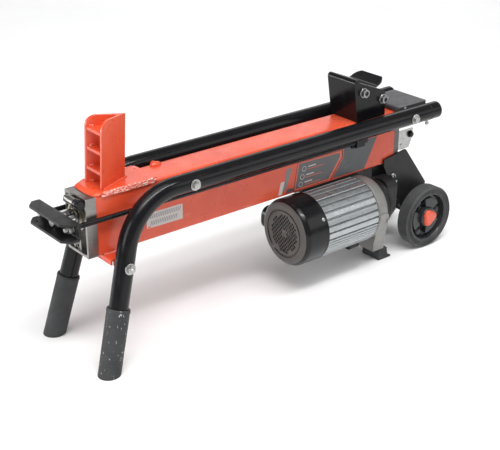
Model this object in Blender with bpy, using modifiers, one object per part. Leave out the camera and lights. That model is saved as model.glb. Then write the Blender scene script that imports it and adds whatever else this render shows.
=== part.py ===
"""Electric log splitter: a horizontal hydraulic ram inside a box beam pulls a pusher towards a fixed wedge.

Every length below is in millimetres and becomes metres through MM. X runs along the beam, from the wedge
end at -X to the wheels at +X. Y is across, with the motor at -Y, and Z is up from the ground at 0.
"""

import math

import bmesh
import bpy
from mathutils import Matrix, Vector

MM = 0.001
GAP = 0.3  # clearance kept between pieces that touch
FIT = 0.1  # radial running clearance of a pin, rod or piston

# Box beam and its end blocks
BEAM_FRONT = -383.2
BEAM_REAR = 331.5
BEAM_HALF = 33.7
BEAM_LOW = 195.2
BEAM_TOP = 305.0
BEAM_WALL = 4.0
STEP_X = 305.0  # behind this the beam is shallower, to clear the pump
STEP_Z = 204.0
BLOCK_LENGTH = 20.2
REAR_BLOCK_LENGTH = 13.0
CAP_X = -413.5
CAP_Z = 297.5

# Hydraulic ram
RAM_Z = 266.4
ROD_RADIUS = 14.0
BORE_RADIUS = 25.0
CYLINDER_RADIUS = 29.0
PISTON_FRONT = -8.0
PISTON_LENGTH = 25.0
STUD_RADIUS = 8.0
TIE_RADIUS = 4.5
TIE_Y = 42.9
TIE_FRONT = -452.0
TIE_REAR = 243.0
YOKE_BACK = -432.4
YOKE_FRONT = -464.0
YOKE_HALF = 64.0
YOKE_LOW = 250.0
YOKE_TOP = 284.0
YOKE_SHEET = 4.5

# Wedge
WEDGE_EDGE_X = -302.0
WEDGE_REAR_X = -366.0
WEDGE_HALF = 27.0
WEDGE_SHEET = 5.0
WEDGE_HEIGHT = 119.0
WEDGE_LEAN = math.radians(3.7)
WEDGE_ROUND = 18.0
BASE_TOP = 311.0
RIB_HEIGHTS = (338.0, 373.0, 407.0)
RIB_SHEET = 5.0

# Side tubes, which are rails along the beam and then bend down into the front legs
TUBE_RADIUS = 17.2
TUBE_WALL = 2.0
RAIL_Y = 65.7
RAIL_Z = 299.8
RAIL_REAR = 416.3
CORNER_X = -328.8
BEND_RADIUS = 114.0
FOOT_X = -412.9
FOOT_Y = 93.6
SLEEVE_HEIGHT = 115.0
SLEEVE_RADIUS = 21.0
BOLT_RADIUS = 4.0
COVER_HALF = 47.5
FRONT_BOLT_X = -212.4
REAR_BOLT_X = 337.7
LEG_BOLT_Z = 187.0

# Pusher
FACE_LOW = (218.3, 305.6)
FACE_TOP = (204.4, 397.5)
HOOD_END = (266.5, 372.5)
LIP_END = (292.0, 383.5)
PUSHER_HALF = 38.3
PUSHER_SHEET = 4.0
CHEEK_REAR = 295.0
LEG_FRONT = 207.0
LEG_REAR = 231.0
LEG_LOW = 252.0
CHEEK_BOLTS = ((232.4, 363.9), (286.5, 341.1))
CHEEK_BOLT_RADIUS = 5.0

# Motor, with its shaft along X
MOTOR_Y = -48.0
MOTOR_Z = 125.0
MOTOR_RADIUS = 67.0
COWL_RADIUS = 68.0
COWL_FACE = 21.0
COWL_REAR = 80.0
GRILLE_RADIUS = 42.2
HOUSING_REAR = 213.2
RING_REAR = 248.0
ADAPTER_REAR = 277.0
FIN_COUNT = 30
FIN_DEPTH = 7.0
SHAFT_RADIUS = 8.0
STUB_RADIUS = 6.0
FOOT_LOW_Y = -71.6
FOOT_HIGH_Y = -22.9
FOOT_TOP = 25.0

# Gear pump
GEAR_TEETH = 12
GEAR_PITCH = 12.0
GEAR_TIP = 13.8
GEAR_ROOT = 9.8
GEAR_FRONT = 279.0
GEAR_REAR = 297.0
PUMP_REAR = 299.0
COVER_REAR = 309.0

# Valve and its lever, on the far side
LEVER_X = 286.0
LEVER_Y = 46.8
LEVER_PIVOT_Z = 215.0
LEVER_ARM_Z = 262.0
LEVER_WIDTH = 14.0
GRIP_START = 82.3
PIN_RADIUS = 4.0

# Wheels
WHEEL_X = 397.0
WHEEL_RADIUS = 67.0
WHEEL_OUTER_Y = 87.1
WHEEL_WIDTH = 32.0
AXLE_RADIUS = 6.0
BRACKET_Y = 34.3
BRACKET_SHEET = 4.0

# Switch box on the far side of the motor
BOX_LOW = (52.0, 20.4, 88.0)
BOX_HIGH = (150.0, 54.7, 136.0)
BOX_WALL = 2.5
LID_SHEET = 3.0
BUTTON_RADIUS = 8.0
BUTTON_X = 100.0

SIDES = {"near": -1, "far": 1}

# Where a flat outline's own axes u, v and its thickness point in the world
PLANES = {
    "XY": Matrix(((1, 0, 0), (0, 1, 0), (0, 0, 1))),
    "YZ": Matrix(((0, 0, 1), (1, 0, 0), (0, 1, 0))),
    "XZ": Matrix(((1, 0, 0), (0, 0, -1), (0, 1, 0))),
}

COLOURS = {
    "red_paint": ((0.70, 0.085, 0.030), 0.35, 0.0),
    "black_paint": ((0.012, 0.012, 0.013), 0.28, 0.0),
    "black_plastic": ((0.018, 0.018, 0.019), 0.42, 0.0),
    "dark_rubber": ((0.045, 0.045, 0.047), 0.75, 0.0),
    "tyre_rubber": ((0.030, 0.030, 0.030), 0.70, 0.0),
    "cast_aluminium": ((0.42, 0.42, 0.42), 0.45, 0.9),
    "machined_steel": ((0.30, 0.30, 0.30), 0.35, 1.0),
    "zinc": ((0.72, 0.73, 0.72), 0.30, 1.0),
    "chrome_rod": ((0.75, 0.75, 0.76), 0.10, 1.0),
    "brass": ((0.60, 0.45, 0.22), 0.30, 1.0),
    "cap_orange": ((0.75, 0.13, 0.05), 0.40, 0.0),
    "button_green": ((0.02, 0.35, 0.06), 0.40, 0.0),
}


# ---------------------------------------------------------------- scene, collections and materials


def clear_scene():
    for old in list(bpy.data.objects):
        bpy.data.objects.remove(old, do_unlink=True)


def new_collection(name):
    made = bpy.data.collections.new(name)
    bpy.context.scene.collection.children.link(made)
    return made


def new_material(name, colour, roughness, metallic):
    material = bpy.data.materials.new(name)
    material.use_nodes = True
    shader = material.node_tree.nodes["Principled BSDF"]
    shader.inputs["Base Color"].default_value = (*colour, 1.0)
    shader.inputs["Roughness"].default_value = roughness
    shader.inputs["Metallic"].default_value = metallic
    material.diffuse_color = (*colour, 1.0)
    return material


clear_scene()
PARTS = new_collection("log_splitter")
CUTTERS = new_collection("log_splitter_cutters")
MATERIALS = {name: new_material(name, *look) for name, look in COLOURS.items()}


# ---------------------------------------------------------------- outlines, as lists of (u, v) points


def circle(centre, radius, sides=16):
    step = 2 * math.pi / sides
    return [(centre[0] + radius * math.cos(i * step), centre[1] + radius * math.sin(i * step))
            for i in range(sides)]


def rectangle(low, high):
    return [(low[0], low[1]), (high[0], low[1]), (high[0], high[1]), (low[0], high[1])]


def rounded(corners, radii, steps=2):
    """The closed outline through corners, each one rounded by its radius."""
    points = []
    count = len(corners)
    for i, corner in enumerate(corners):
        radius = radii[i] if isinstance(radii, (list, tuple)) else radii
        if radius <= 0:
            points.append(corner)
            continue
        here = Vector(corner)
        before = (Vector(corners[i - 1]) - here).normalized()
        after = (Vector(corners[(i + 1) % count]) - here).normalized()
        half = before.angle(after) / 2
        centre = here + (before + after).normalized() * (radius / math.sin(half))
        first = here + before * (radius / math.tan(half)) - centre
        last = here + after * (radius / math.tan(half)) - centre
        sweep = math.atan2(first.x * last.y - first.y * last.x, first.dot(last))
        for k in range(steps + 1):
            turned_arm = Matrix.Rotation(sweep * k / steps, 2) @ first
            points.append(tuple(centre + turned_arm))
    return points


def offset_path(path, distance):
    """An open path moved sideways, to the right of its direction, with mitred corners."""
    points = [Vector(p) for p in path]
    moved = []
    for i, point in enumerate(points):
        normals = []
        for a, b in ((i - 1, i), (i, i + 1)):
            if a >= 0 and b < len(points):
                along = (points[b] - points[a]).normalized()
                normals.append(Vector((along.y, -along.x)))
        mean = sum(normals, Vector((0, 0))).normalized()
        moved.append(point + mean * (distance / mean.dot(normals[0])))
    return [tuple(p) for p in moved]


def strip(path, thickness, bend):
    """Outline of a bent sheet: path is its outer surface, and its thickness is to the right of it."""
    inner = offset_path(path, thickness)
    corners = list(path) + inner[::-1]
    inner_bend = max(bend - thickness, 0.8)
    middle = len(path) - 2
    radii = [0] + [bend] * middle + [0, 0] + [inner_bend] * middle + [0]
    return rounded(corners, radii)


def spur_gear(centre, turn):
    """Outline of a gear whose teeth are a little thinner than their spaces."""
    pitch_angle = 2 * math.pi / GEAR_TEETH
    points = []
    for i in range(GEAR_TEETH):
        start = turn + i * pitch_angle
        for radius, share in ((GEAR_ROOT, -0.27), (GEAR_PITCH, -0.20), (GEAR_TIP, -0.09),
                              (GEAR_TIP, 0.09), (GEAR_PITCH, 0.20), (GEAR_ROOT, 0.27)):
            angle = start + share * pitch_angle
            points.append((centre[0] + radius * math.cos(angle), centre[1] + radius * math.sin(angle)))
    return points


# ---------------------------------------------------------------- solids, as meshes in world metres


def evaluated_mesh(obj):
    """The mesh that an object's modifiers or curve settings give, with loose caps welded."""
    bpy.context.scene.collection.objects.link(obj)
    graph = bpy.context.evaluated_depsgraph_get()
    mesh = bpy.data.meshes.new_from_object(obj.evaluated_get(graph))
    mesh.transform(obj.matrix_world)
    bpy.data.objects.remove(obj, do_unlink=True)
    work = bmesh.new()
    work.from_mesh(mesh)
    bmesh.ops.remove_doubles(work, verts=work.verts, dist=0.00001)
    bmesh.ops.recalc_face_normals(work, faces=work.faces)
    work.to_mesh(mesh)
    work.free()
    return mesh


def plate(plane, loops, low, high):
    """Closed outlines filled and thickened from low to high along the plane's normal."""
    curve = bpy.data.curves.new("outline", "CURVE")
    curve.dimensions = "2D"
    curve.fill_mode = "BOTH"
    curve.extrude = (high - low) / 2 * MM
    for loop in loops:
        spline = curve.splines.new("POLY")
        spline.points.add(len(loop) - 1)
        for point, (u, v) in zip(spline.points, loop):
            point.co = (u * MM, v * MM, 0, 1)
        spline.use_cyclic_u = True
    mesh = evaluated_mesh(bpy.data.objects.new("outline", curve))
    turn = PLANES[plane]
    normal = turn @ Vector((0, 0, 1))
    sign = normal.x + normal.y + normal.z
    mesh.transform(Matrix.Translation(normal * sign * (low + high) / 2 * MM) @ turn.to_4x4())
    return mesh


def block(low, high):
    work = bmesh.new()
    size = Vector(high) - Vector(low)
    centre = (Vector(high) + Vector(low)) / 2
    bmesh.ops.create_cube(work, size=1)
    bmesh.ops.scale(work, vec=size * MM, verts=work.verts)
    bmesh.ops.translate(work, vec=centre * MM, verts=work.verts)
    mesh = bpy.data.meshes.new("block")
    work.to_mesh(mesh)
    work.free()
    return mesh


def along(direction):
    """The turn that points local +Z along direction, with local X kept level where it can be."""
    return Vector(direction).to_track_quat("Z", "Y").to_matrix().to_4x4()


def cylinder(start, end, radius, sides=16):
    work = bmesh.new()
    axis = (Vector(end) - Vector(start)) * MM
    bmesh.ops.create_cone(
        work, cap_ends=True, segments=sides, radius1=radius * MM, radius2=radius * MM, depth=axis.length)
    bmesh.ops.transform(work, matrix=along(axis), verts=work.verts)
    bmesh.ops.translate(work, vec=Vector(start) * MM + axis / 2, verts=work.verts)
    mesh = bpy.data.meshes.new("cylinder")
    work.to_mesh(mesh)
    work.free()
    return mesh


def turned(origin, direction, profile, sides=24, closed=False):
    """A turned solid: profile is (radius, distance along direction), down its outer side."""
    mesh = bpy.data.meshes.new("profile")
    edges = [(i, i + 1) for i in range(len(profile) - 1)]
    if closed:
        edges.append((len(profile) - 1, 0))
    mesh.from_pydata([(r * MM, 0, h * MM) for r, h in profile], edges, [])
    obj = bpy.data.objects.new("turned", mesh)
    screw = obj.modifiers.new("turn", "SCREW")
    screw.steps = sides
    screw.render_steps = sides
    screw.use_merge_vertices = True
    screw.merge_threshold = 0.000005
    solid = evaluated_mesh(obj)
    solid.transform(Matrix.Translation(Vector(origin) * MM) @ along(direction))
    return solid


def ring(start, end, inner, outer, sides=24):
    """A plain tube or washer between two points."""
    axis = Vector(end) - Vector(start)
    length = axis.length
    profile = [(outer, length), (outer, 0), (inner, 0), (inner, length)]
    return turned(start, axis, profile, sides, closed=True)


def combined(base, others, operation):
    """A mesh after an exact Boolean with each of the others in turn."""
    obj = bpy.data.objects.new("base", base)
    tools = []
    for other in others:
        tool = bpy.data.objects.new("cutter", other)
        CUTTERS.objects.link(tool)
        tool.display_type = "WIRE"
        tool.hide_render = True
        tools.append(tool)
        boolean = obj.modifiers.new("cut", "BOOLEAN")
        boolean.solver = "EXACT"
        boolean.operation = operation
        boolean.object = tool
    result = evaluated_mesh(obj)
    for tool in tools:
        bpy.data.objects.remove(tool, do_unlink=True)
    return result


def cut(base, *tools):
    return combined(base, tools, "DIFFERENCE")


def joined(base, *others):
    return combined(base, others, "UNION")


def part(name, mesh, colour, pivot=(0, 0, 0)):
    """One named sub-part. Its origin goes to the pivot, which is a point on its joint's axis."""
    mesh.name = name
    mesh.transform(Matrix.Translation(-Vector(pivot) * MM))
    mesh.materials.clear()
    mesh.materials.append(MATERIALS[colour])
    mesh.shade_smooth()
    mesh.set_sharp_from_angle(angle=math.radians(35))
    obj = bpy.data.objects.new(name, mesh)
    obj.location = Vector(pivot) * MM
    PARTS.objects.link(obj)
    return obj


# ---------------------------------------------------------------- fasteners


def hex_bolt(head, direction, length, radius, across, head_height, washer=0.0):
    """A hexagon-headed bolt on its washer: head is the centre of the face that bears on the piece."""
    start = Vector(head)
    unit = Vector(direction).normalized()
    seat = start - unit * (1.6 if washer else 0)
    solid = cylinder(seat - unit * head_height, seat, across / math.sqrt(3), 6)
    others = [cylinder(seat - unit * head_height / 2, start + unit * length, radius, 12)]
    if washer:
        others.append(cylinder(seat - unit * 0.2, start, washer, 16))
    return joined(solid, *others)


def hex_nut(start, end, across, hole):
    axis = Vector(end) - Vector(start)
    body = cylinder(start, end, across / math.sqrt(3), 6)
    return cut(body, cylinder(Vector(start) - axis, Vector(end) + axis, hole, 12))


# ---------------------------------------------------------------- beam, blocks and wedge


def threaded_boss(x, side):
    """A boss that stands out to a rail's inner side, and its blind bolt hole."""
    inner = side * (BEAM_HALF - 1)
    outer = side * (RAIL_Y - TUBE_RADIUS - GAP)
    boss = cylinder((x, inner, RAIL_Z), (x, outer, RAIL_Z), 5.8, 12)
    start = side * (BEAM_HALF + 2)
    return boss, cylinder((x, start, RAIL_Z), (x, outer + side * 5, RAIL_Z), BOLT_RADIUS + GAP, 12)


def make_beam():
    outer = rounded(rectangle((-BEAM_HALF, BEAM_LOW), (BEAM_HALF, BEAM_TOP)), 5.0, 3)
    inner = rounded(rectangle((-BEAM_HALF + BEAM_WALL, BEAM_LOW + BEAM_WALL),
                              (BEAM_HALF - BEAM_WALL, BEAM_TOP - BEAM_WALL)), 1.5, 2)
    tube = plate("YZ", [outer, inner], BEAM_FRONT, BEAM_REAR)
    step = block((STEP_X, -BEAM_HALF - 5, BEAM_LOW - 5), (BEAM_REAR + 5, BEAM_HALF + 5, STEP_Z))
    welded = []
    holes = []
    for side in SIDES.values():
        boss, hole = threaded_boss(FRONT_BOLT_X, side)
        welded.append(boss)
        holes.append(hole)
    for low in (LEVER_X - LEVER_WIDTH / 2 - 6, LEVER_X + LEVER_WIDTH / 2 + 1):
        ear = rounded([(BEAM_HALF - 1, 205), (46, 205), (56, 211), (56, 219), (46, 225), (BEAM_HALF - 1, 225)], 2)
        welded.append(plate("YZ", [ear], low, low + 5))
    pivot_far = (LEVER_X + 30, LEVER_Y, LEVER_PIVOT_Z)
    holes.append(cylinder((LEVER_X - 30, LEVER_Y, LEVER_PIVOT_Z), pivot_far, PIN_RADIUS + FIT, 16))
    part("beam", cut(joined(cut(tube, step), *welded), *holes), "red_paint")


def make_end_blocks():
    front = BEAM_FRONT - GAP - BLOCK_LENGTH
    back = BEAM_FRONT - GAP
    outer = rectangle((-BEAM_HALF, BEAM_LOW), (BEAM_HALF, BEAM_TOP))
    gland_hole = circle((0, RAM_Z), 23.0, 32)
    inner = rounded(rectangle((-BEAM_HALF + 4.5, BEAM_LOW + 5), (BEAM_HALF - 4.5, BEAM_TOP - 5)), 5)
    body = plate("YZ", [outer, gland_hole], back - 8.5, back)
    raised = [plate("YZ", [outer, inner], front, back - 8),
              plate("YZ", [circle((0, RAM_Z), 26.8, 32), gland_hole], front + 1.5, back - 8)]
    for y in (-3, 16):
        raised.append(plate("YZ", [rectangle((y - 2.5, BEAM_LOW + 2), (y + 2.5, 242))], front + 3, back - 8))
    lug = rounded([(CAP_X - 6, CAP_Z - 6), (front + 3, CAP_Z - 8), (front + 3, BEAM_TOP - 1), (CAP_X - 6, CAP_Z + 6)],
                  [4, 0, 0, 4])
    raised.append(plate("XZ", [lug], 3, 12))
    cap_hole = cylinder((CAP_X, -10, CAP_Z), (CAP_X, 20, CAP_Z), 4 + GAP)
    part("front_block", cut(joined(body, *raised), cap_hole), "cast_aluminium")
    part("rod_gland", ring((front - 4.3, 0, RAM_Z), (back - GAP, 0, RAM_Z), ROD_RADIUS + FIT, 22.7, 32), "brass")

    oil_cap = [(0, 37), (8, 37), (9, 36), (9, 17), (6, 16), (6, 0), (4, 0), (4, -9), (0, -9)]
    part("oil_cap", turned((CAP_X, 3 - GAP, CAP_Z), (0, -1, 0), oil_cap, 16), "black_plastic")

    rear_low = BEAM_REAR + GAP
    rear = block((rear_low, -BEAM_HALF, STEP_Z), (rear_low + REAR_BLOCK_LENGTH, BEAM_HALF, BEAM_TOP - GAP))
    bosses, holes = zip(*(threaded_boss(REAR_BOLT_X, side) for side in SIDES.values()))
    part("rear_block", cut(joined(rear, *bosses), *holes), "cast_aluminium")


def leaned(mesh):
    """Leans an upright wedge mesh towards the pusher, from the top of its base plate."""
    shear = Matrix.Identity(4)
    shear[0][2] = math.tan(WEDGE_LEAN)
    pivot = Vector((0, 0, BASE_TOP * MM))
    mesh.transform(Matrix.Translation(pivot) @ shear @ Matrix.Translation(-pivot))
    return mesh


def make_wedge():
    slope = math.atan2(WEDGE_HALF, WEDGE_EDGE_X - WEDGE_REAR_X)
    inset = Vector((-math.sin(slope), math.cos(slope))) * WEDGE_SHEET
    rear_in = Vector((WEDGE_REAR_X, -WEDGE_HALF)) + inset
    apex_in = WEDGE_EDGE_X - WEDGE_SHEET / math.sin(slope)
    past = Vector((-8, -8 * math.tan(slope)))  # the walls run on past their rear edge, and are trimmed to it
    tail, tail_in = Vector((WEDGE_REAR_X, -WEDGE_HALF)) + past, rear_in + past
    vee = [(WEDGE_EDGE_X, 0), (tail.x, -tail.y), (tail_in.x, -tail_in.y), (apex_in, 0), tuple(tail_in), tuple(tail)]
    low = BASE_TOP + GAP
    top = low + WEDGE_HEIGHT
    walls = leaned(plate("XY", [vee], low - 10, top + 10))
    side = rounded([(WEDGE_REAR_X - 1, low), (WEDGE_EDGE_X + 30, low), (WEDGE_EDGE_X + 30, top - 6),
                    (WEDGE_REAR_X + 6.5, top - 1)], [0, 0, 0, WEDGE_ROUND], 8)
    outline = plate("XZ", [side], -60, 60)
    blade = combined(walls, [outline], "INTERSECT")
    ribs = []
    reach = (-rear_in.y + 1.5) / math.tan(slope)
    for height in RIB_HEIGHTS:
        tip = apex_in + 2
        rib = [(tip, 0), (tip - reach, -rear_in.y + 0.5), (tip - reach, rear_in.y - 0.5)]
        ribs.append(leaned(plate("XY", [rib], height - RIB_SHEET / 2, height + RIB_SHEET / 2)))
    part("wedge_blade", joined(blade, *ribs), "red_paint")

    front_arc = [(-384 - 7.0 * math.cos(math.radians(a)), -32 * math.sin(math.radians(a)))
                 for a in range(-75, 76, 15)]
    base = [(-260, 34.6), (-380, 34.6)] + front_arc + [(-380, -34.6), (-260, -34.6)]
    low = BEAM_TOP + GAP
    part("wedge_base", plate("XY", [base], low, BASE_TOP), "red_paint")


# ---------------------------------------------------------------- tubes, feet and their fasteners


def leg_point(height):
    """Where a near leg's centre line is at a height, as (x, y)."""
    share = 1 - height / RAIL_Z
    return CORNER_X + (FOOT_X - CORNER_X) * share, -(RAIL_Y + (FOOT_Y - RAIL_Y) * share)


def tube_route(side):
    """Centre line of a tube: straight rail, round bend, then the splayed leg."""
    corner = Vector((CORNER_X, side * RAIL_Y, RAIL_Z))
    down = (Vector((FOOT_X, side * FOOT_Y, 0)) - corner).normalized()
    back = Vector((1, 0, 0))
    half = back.angle(down) / 2
    centre = corner + (back + down).normalized() * (BEND_RADIUS / math.sin(half))
    first = corner + back * (BEND_RADIUS / math.tan(half)) - centre
    last = corner + down * (BEND_RADIUS / math.tan(half)) - centre
    normal = first.cross(last).normalized()
    sweep = first.angle(last)
    steps = 6
    bend = [centre + Matrix.Rotation(sweep * i / steps, 3, normal) @ first for i in range(steps + 1)]
    foot = corner + down * ((RAIL_Z - 15) / -down.z)
    return [Vector((RAIL_REAR, side * RAIL_Y, RAIL_Z))] + bend + [foot]


def make_tube(name, side):
    curve = bpy.data.curves.new(name, "CURVE")
    curve.dimensions = "3D"
    curve.bevel_depth = TUBE_RADIUS * MM
    curve.bevel_resolution = 3
    route = tube_route(side)
    spline = curve.splines.new("POLY")
    spline.points.add(len(route) - 1)
    for point, place in zip(spline.points, route):
        point.co = (*(place * MM), 1)
    skin = evaluated_mesh(bpy.data.objects.new(name, curve))
    shell = bpy.data.objects.new(name, skin)
    wall = shell.modifiers.new("wall", "SOLIDIFY")
    wall.thickness = TUBE_WALL * MM
    wall.offset = -1
    mesh = evaluated_mesh(shell)
    leg_x, _ = leg_point(LEG_BOLT_Z)
    holes = [
        cylinder((x, side * 40, z), (x, side * 110, z), BOLT_RADIUS + GAP, 12)
        for x, z in ((FRONT_BOLT_X, RAIL_Z), (REAR_BOLT_X, RAIL_Z), (leg_x, LEG_BOLT_Z))
    ]
    part(name, cut(mesh, *holes), "black_paint")


def make_foot_sleeve(name, side):
    floor = block((FOOT_X - 80, -150, -60), (FOOT_X + 80, 150, 0))
    x, y = leg_point(SLEEVE_HEIGHT)
    top = Vector((x, -side * y, SLEEVE_HEIGHT))
    foot = Vector((FOOT_X, side * FOOT_Y, 0))
    length = (top - foot).length
    bore = TUBE_RADIUS + 0.8
    profile = [(0, 12), (bore, 12), (bore, length), (SLEEVE_RADIUS - 1.5, length), (SLEEVE_RADIUS, length - 2),
               (SLEEVE_RADIUS, length - 6), (SLEEVE_RADIUS - 0.6, length - 8), (SLEEVE_RADIUS - 0.8, -12), (0, -12)]
    sleeve = turned(foot, top - foot, profile, 16)
    part(f"foot_sleeve_{name}", cut(sleeve, floor), "dark_rubber")


def make_tube_fittings(name, side):
    plug = [(0, 3), (TUBE_RADIUS - 1.5, 3), (TUBE_RADIUS, 1.5), (TUBE_RADIUS, 0), (TUBE_RADIUS - 3.4, 0),
            (TUBE_RADIUS - 3.4, -12), (0, -12)]
    cap = turned((RAIL_REAR + GAP, side * RAIL_Y, RAIL_Z), (1, 0, 0), plug, 16)
    part(f"tube_cap_{name}", cap, "black_plastic")
    seat = side * (RAIL_Y + TUBE_RADIUS + GAP)
    for place, x in (("front", FRONT_BOLT_X), ("rear", REAR_BOLT_X)):
        bolt = hex_bolt((x, seat, RAIL_Z), (0, -side, 0), 45, BOLT_RADIUS, 13, 5.3, washer=10.5)
        part(f"rail_bolt_{place}_{name}", bolt, "zinc")


def make_leg_bracket():
    leg_x, leg_y = leg_point(LEG_BOLT_Z)
    top = BEAM_LOW - GAP
    ear = -leg_y - TUBE_RADIUS - 1.2
    low, front, rear = 184.6, leg_x - 15, leg_x + 16
    channel = rounded([(front, low), (front, top), (rear, top), (rear, low), (rear - 3, low), (rear - 3, top - 3),
                       (front + 3, top - 3), (front + 3, low)], [0, 4, 4, 0, 0, 1, 1, 0], 3)
    outline = rounded([(leg_x - 9, 177), (leg_x + 9, 177), (leg_x + 9, top - 1), (leg_x - 9, top - 1)], [5, 5, 0, 0], 3)
    ends = [plate("XZ", [outline], *sorted((side * (ear - 3), side * ear))) for side in SIDES.values()]
    bracket = joined(plate("XZ", [channel], -ear, ear), *ends)
    hole = cylinder((leg_x, -80, LEG_BOLT_Z), (leg_x, 80, LEG_BOLT_Z), BOLT_RADIUS + GAP, 12)
    part("leg_bracket", cut(bracket, hole), "red_paint")

    seat = -leg_y + TUBE_RADIUS + GAP + 1.2  # clears the splayed tube at the washer's rim
    stud = cylinder((leg_x, -seat - 9, LEG_BOLT_Z), (leg_x, seat + 9, LEG_BOLT_Z), BOLT_RADIUS, 12)
    ends = []
    for side in SIDES.values():
        washer_end = side * (seat + 1.6)
        ends.append(cylinder((leg_x, side * seat, LEG_BOLT_Z), (leg_x, washer_end, LEG_BOLT_Z), 10.5, 16))
        ends.append(cylinder((leg_x, side * (seat + 1.4), LEG_BOLT_Z), (leg_x, side * (seat + 6.9), LEG_BOLT_Z),
                             13 / math.sqrt(3), 6))
    part("leg_bolt", joined(stud, *ends), "zinc")


def make_rear_cover():
    profile = strip([(325.5, 305.6), (325.5, 315.5), (408.5, 315.5)], 3.0, 3.5)
    sheet = plate("XZ", [profile], -COVER_HALF, COVER_HALF)
    flanges = []
    for side in SIDES.values():
        low, high = sorted((side * (COVER_HALF - 3), side * COVER_HALF))
        flanges.append(block((326.5, low, 306.8), (408.5, high, 314.5)))
    part("rear_cover", joined(sheet, *flanges), "black_paint")

    low = BEAM_REAR + 2 * GAP + REAR_BLOCK_LENGTH
    angle = strip([(386, -34), (low, -34), (low, -5)], 3.0, 3.5)
    sheet = plate("XY", [angle], 216, 257)
    corner = plate("XZ", [[(376, 210), (392, 210), (392, 232), (381, 226)]], -40, -25)
    hole = cylinder((380, -45, 247), (380, -20, 247), 3.5 + GAP, 16)
    part("zinc_bracket", cut(sheet, corner, hole), "zinc")


# ---------------------------------------------------------------- hydraulic ram


def make_cylinder():
    closed_end = PISTON_FRONT + PISTON_LENGTH + 5
    profile = [(0, closed_end + 12), (CYLINDER_RADIUS - 2, closed_end + 12), (CYLINDER_RADIUS, closed_end + 10),
               (CYLINDER_RADIUS, BEAM_FRONT), (BORE_RADIUS, BEAM_FRONT), (BORE_RADIUS, closed_end), (0, closed_end)]
    part("cylinder_tube", turned((0, 0, RAM_Z), (1, 0, 0), profile, 32), "machined_steel")


def make_ram():
    piston = ring((PISTON_FRONT, 0, RAM_Z), (PISTON_FRONT + PISTON_LENGTH, 0, RAM_Z), 9 + GAP, BORE_RADIUS - FIT, 32)
    part("piston", piston, "machined_steel")
    tail = PISTON_FRONT + PISTON_LENGTH + 3
    front = YOKE_BACK + GAP
    profile = [(0, tail), (9, tail), (9, PISTON_FRONT - GAP), (ROD_RADIUS, PISTON_FRONT - GAP), (ROD_RADIUS, front),
               (STUD_RADIUS, front), (STUD_RADIUS, TIE_FRONT + 1), (0, TIE_FRONT)]
    part("piston_rod", turned((0, 0, RAM_Z), (1, 0, 0), profile, 32), "chrome_rod")

    for name, side in SIDES.items():
        start = (TIE_FRONT, side * TIE_Y, RAM_Z)
        rod = cylinder(start, (TIE_REAR, side * TIE_Y, RAM_Z), TIE_RADIUS, 12)
        nut = cylinder((LEG_REAR + GAP, side * TIE_Y, RAM_Z), (LEG_REAR + 8, side * TIE_Y, RAM_Z),
                       13 / math.sqrt(3), 6)
        part(f"tie_rod_{name}", joined(rod, nut), "black_paint")


def make_yoke():
    channel = rounded(
        [(YOKE_FRONT, YOKE_LOW), (YOKE_BACK, YOKE_LOW), (YOKE_BACK, YOKE_TOP), (YOKE_FRONT, YOKE_TOP),
         (YOKE_FRONT, YOKE_TOP - YOKE_SHEET), (YOKE_BACK - YOKE_SHEET, YOKE_TOP - YOKE_SHEET),
         (YOKE_BACK - YOKE_SHEET, YOKE_LOW + YOKE_SHEET), (YOKE_FRONT, YOKE_LOW + YOKE_SHEET)],
        [0, 6, 6, 0, 0, 1.5, 1.5, 0], 3)
    body = plate("XZ", [channel], -YOKE_HALF, YOKE_HALF)
    tools = [cylinder((YOKE_BACK - 12, 0, RAM_Z), (YOKE_BACK + 5, 0, RAM_Z), STUD_RADIUS + GAP, 24)]
    for side in SIDES.values():
        corner = [(YOKE_FRONT - 5, side * (YOKE_HALF - 14 - 5 * 14 / 12)), (YOKE_FRONT - 5, side * (YOKE_HALF + 8)),
                  (YOKE_FRONT + 12 + 8 * 12 / 14, side * (YOKE_HALF + 8))]
        tools.append(plate("XY", [corner], YOKE_LOW - 5, YOKE_TOP + 5))
        tools.append(cylinder((YOKE_BACK - 12, side * TIE_Y, RAM_Z), (YOKE_BACK + 5, side * TIE_Y, RAM_Z),
                              TIE_RADIUS + GAP, 12))
        drain = (YOKE_FRONT + 9, side * 44)
        tools.append(cylinder((*drain, YOKE_LOW - 5), (*drain, YOKE_LOW + 8), 2.4, 12))
    part("yoke", cut(body, *tools), "black_paint")

    nut_back = YOKE_BACK - YOKE_SHEET - GAP
    rod_nut = hex_nut((nut_back - 9, 0, RAM_Z), (nut_back, 0, RAM_Z), 19, STUD_RADIUS + GAP)
    part("rod_nut", rod_nut, "zinc")
    for name, side in SIDES.items():
        nut = hex_nut((nut_back - 8, side * TIE_Y, RAM_Z), (nut_back, side * TIE_Y, RAM_Z), 15, TIE_RADIUS + GAP)
        part(f"yoke_nut_{name}", nut, "zinc")


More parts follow.
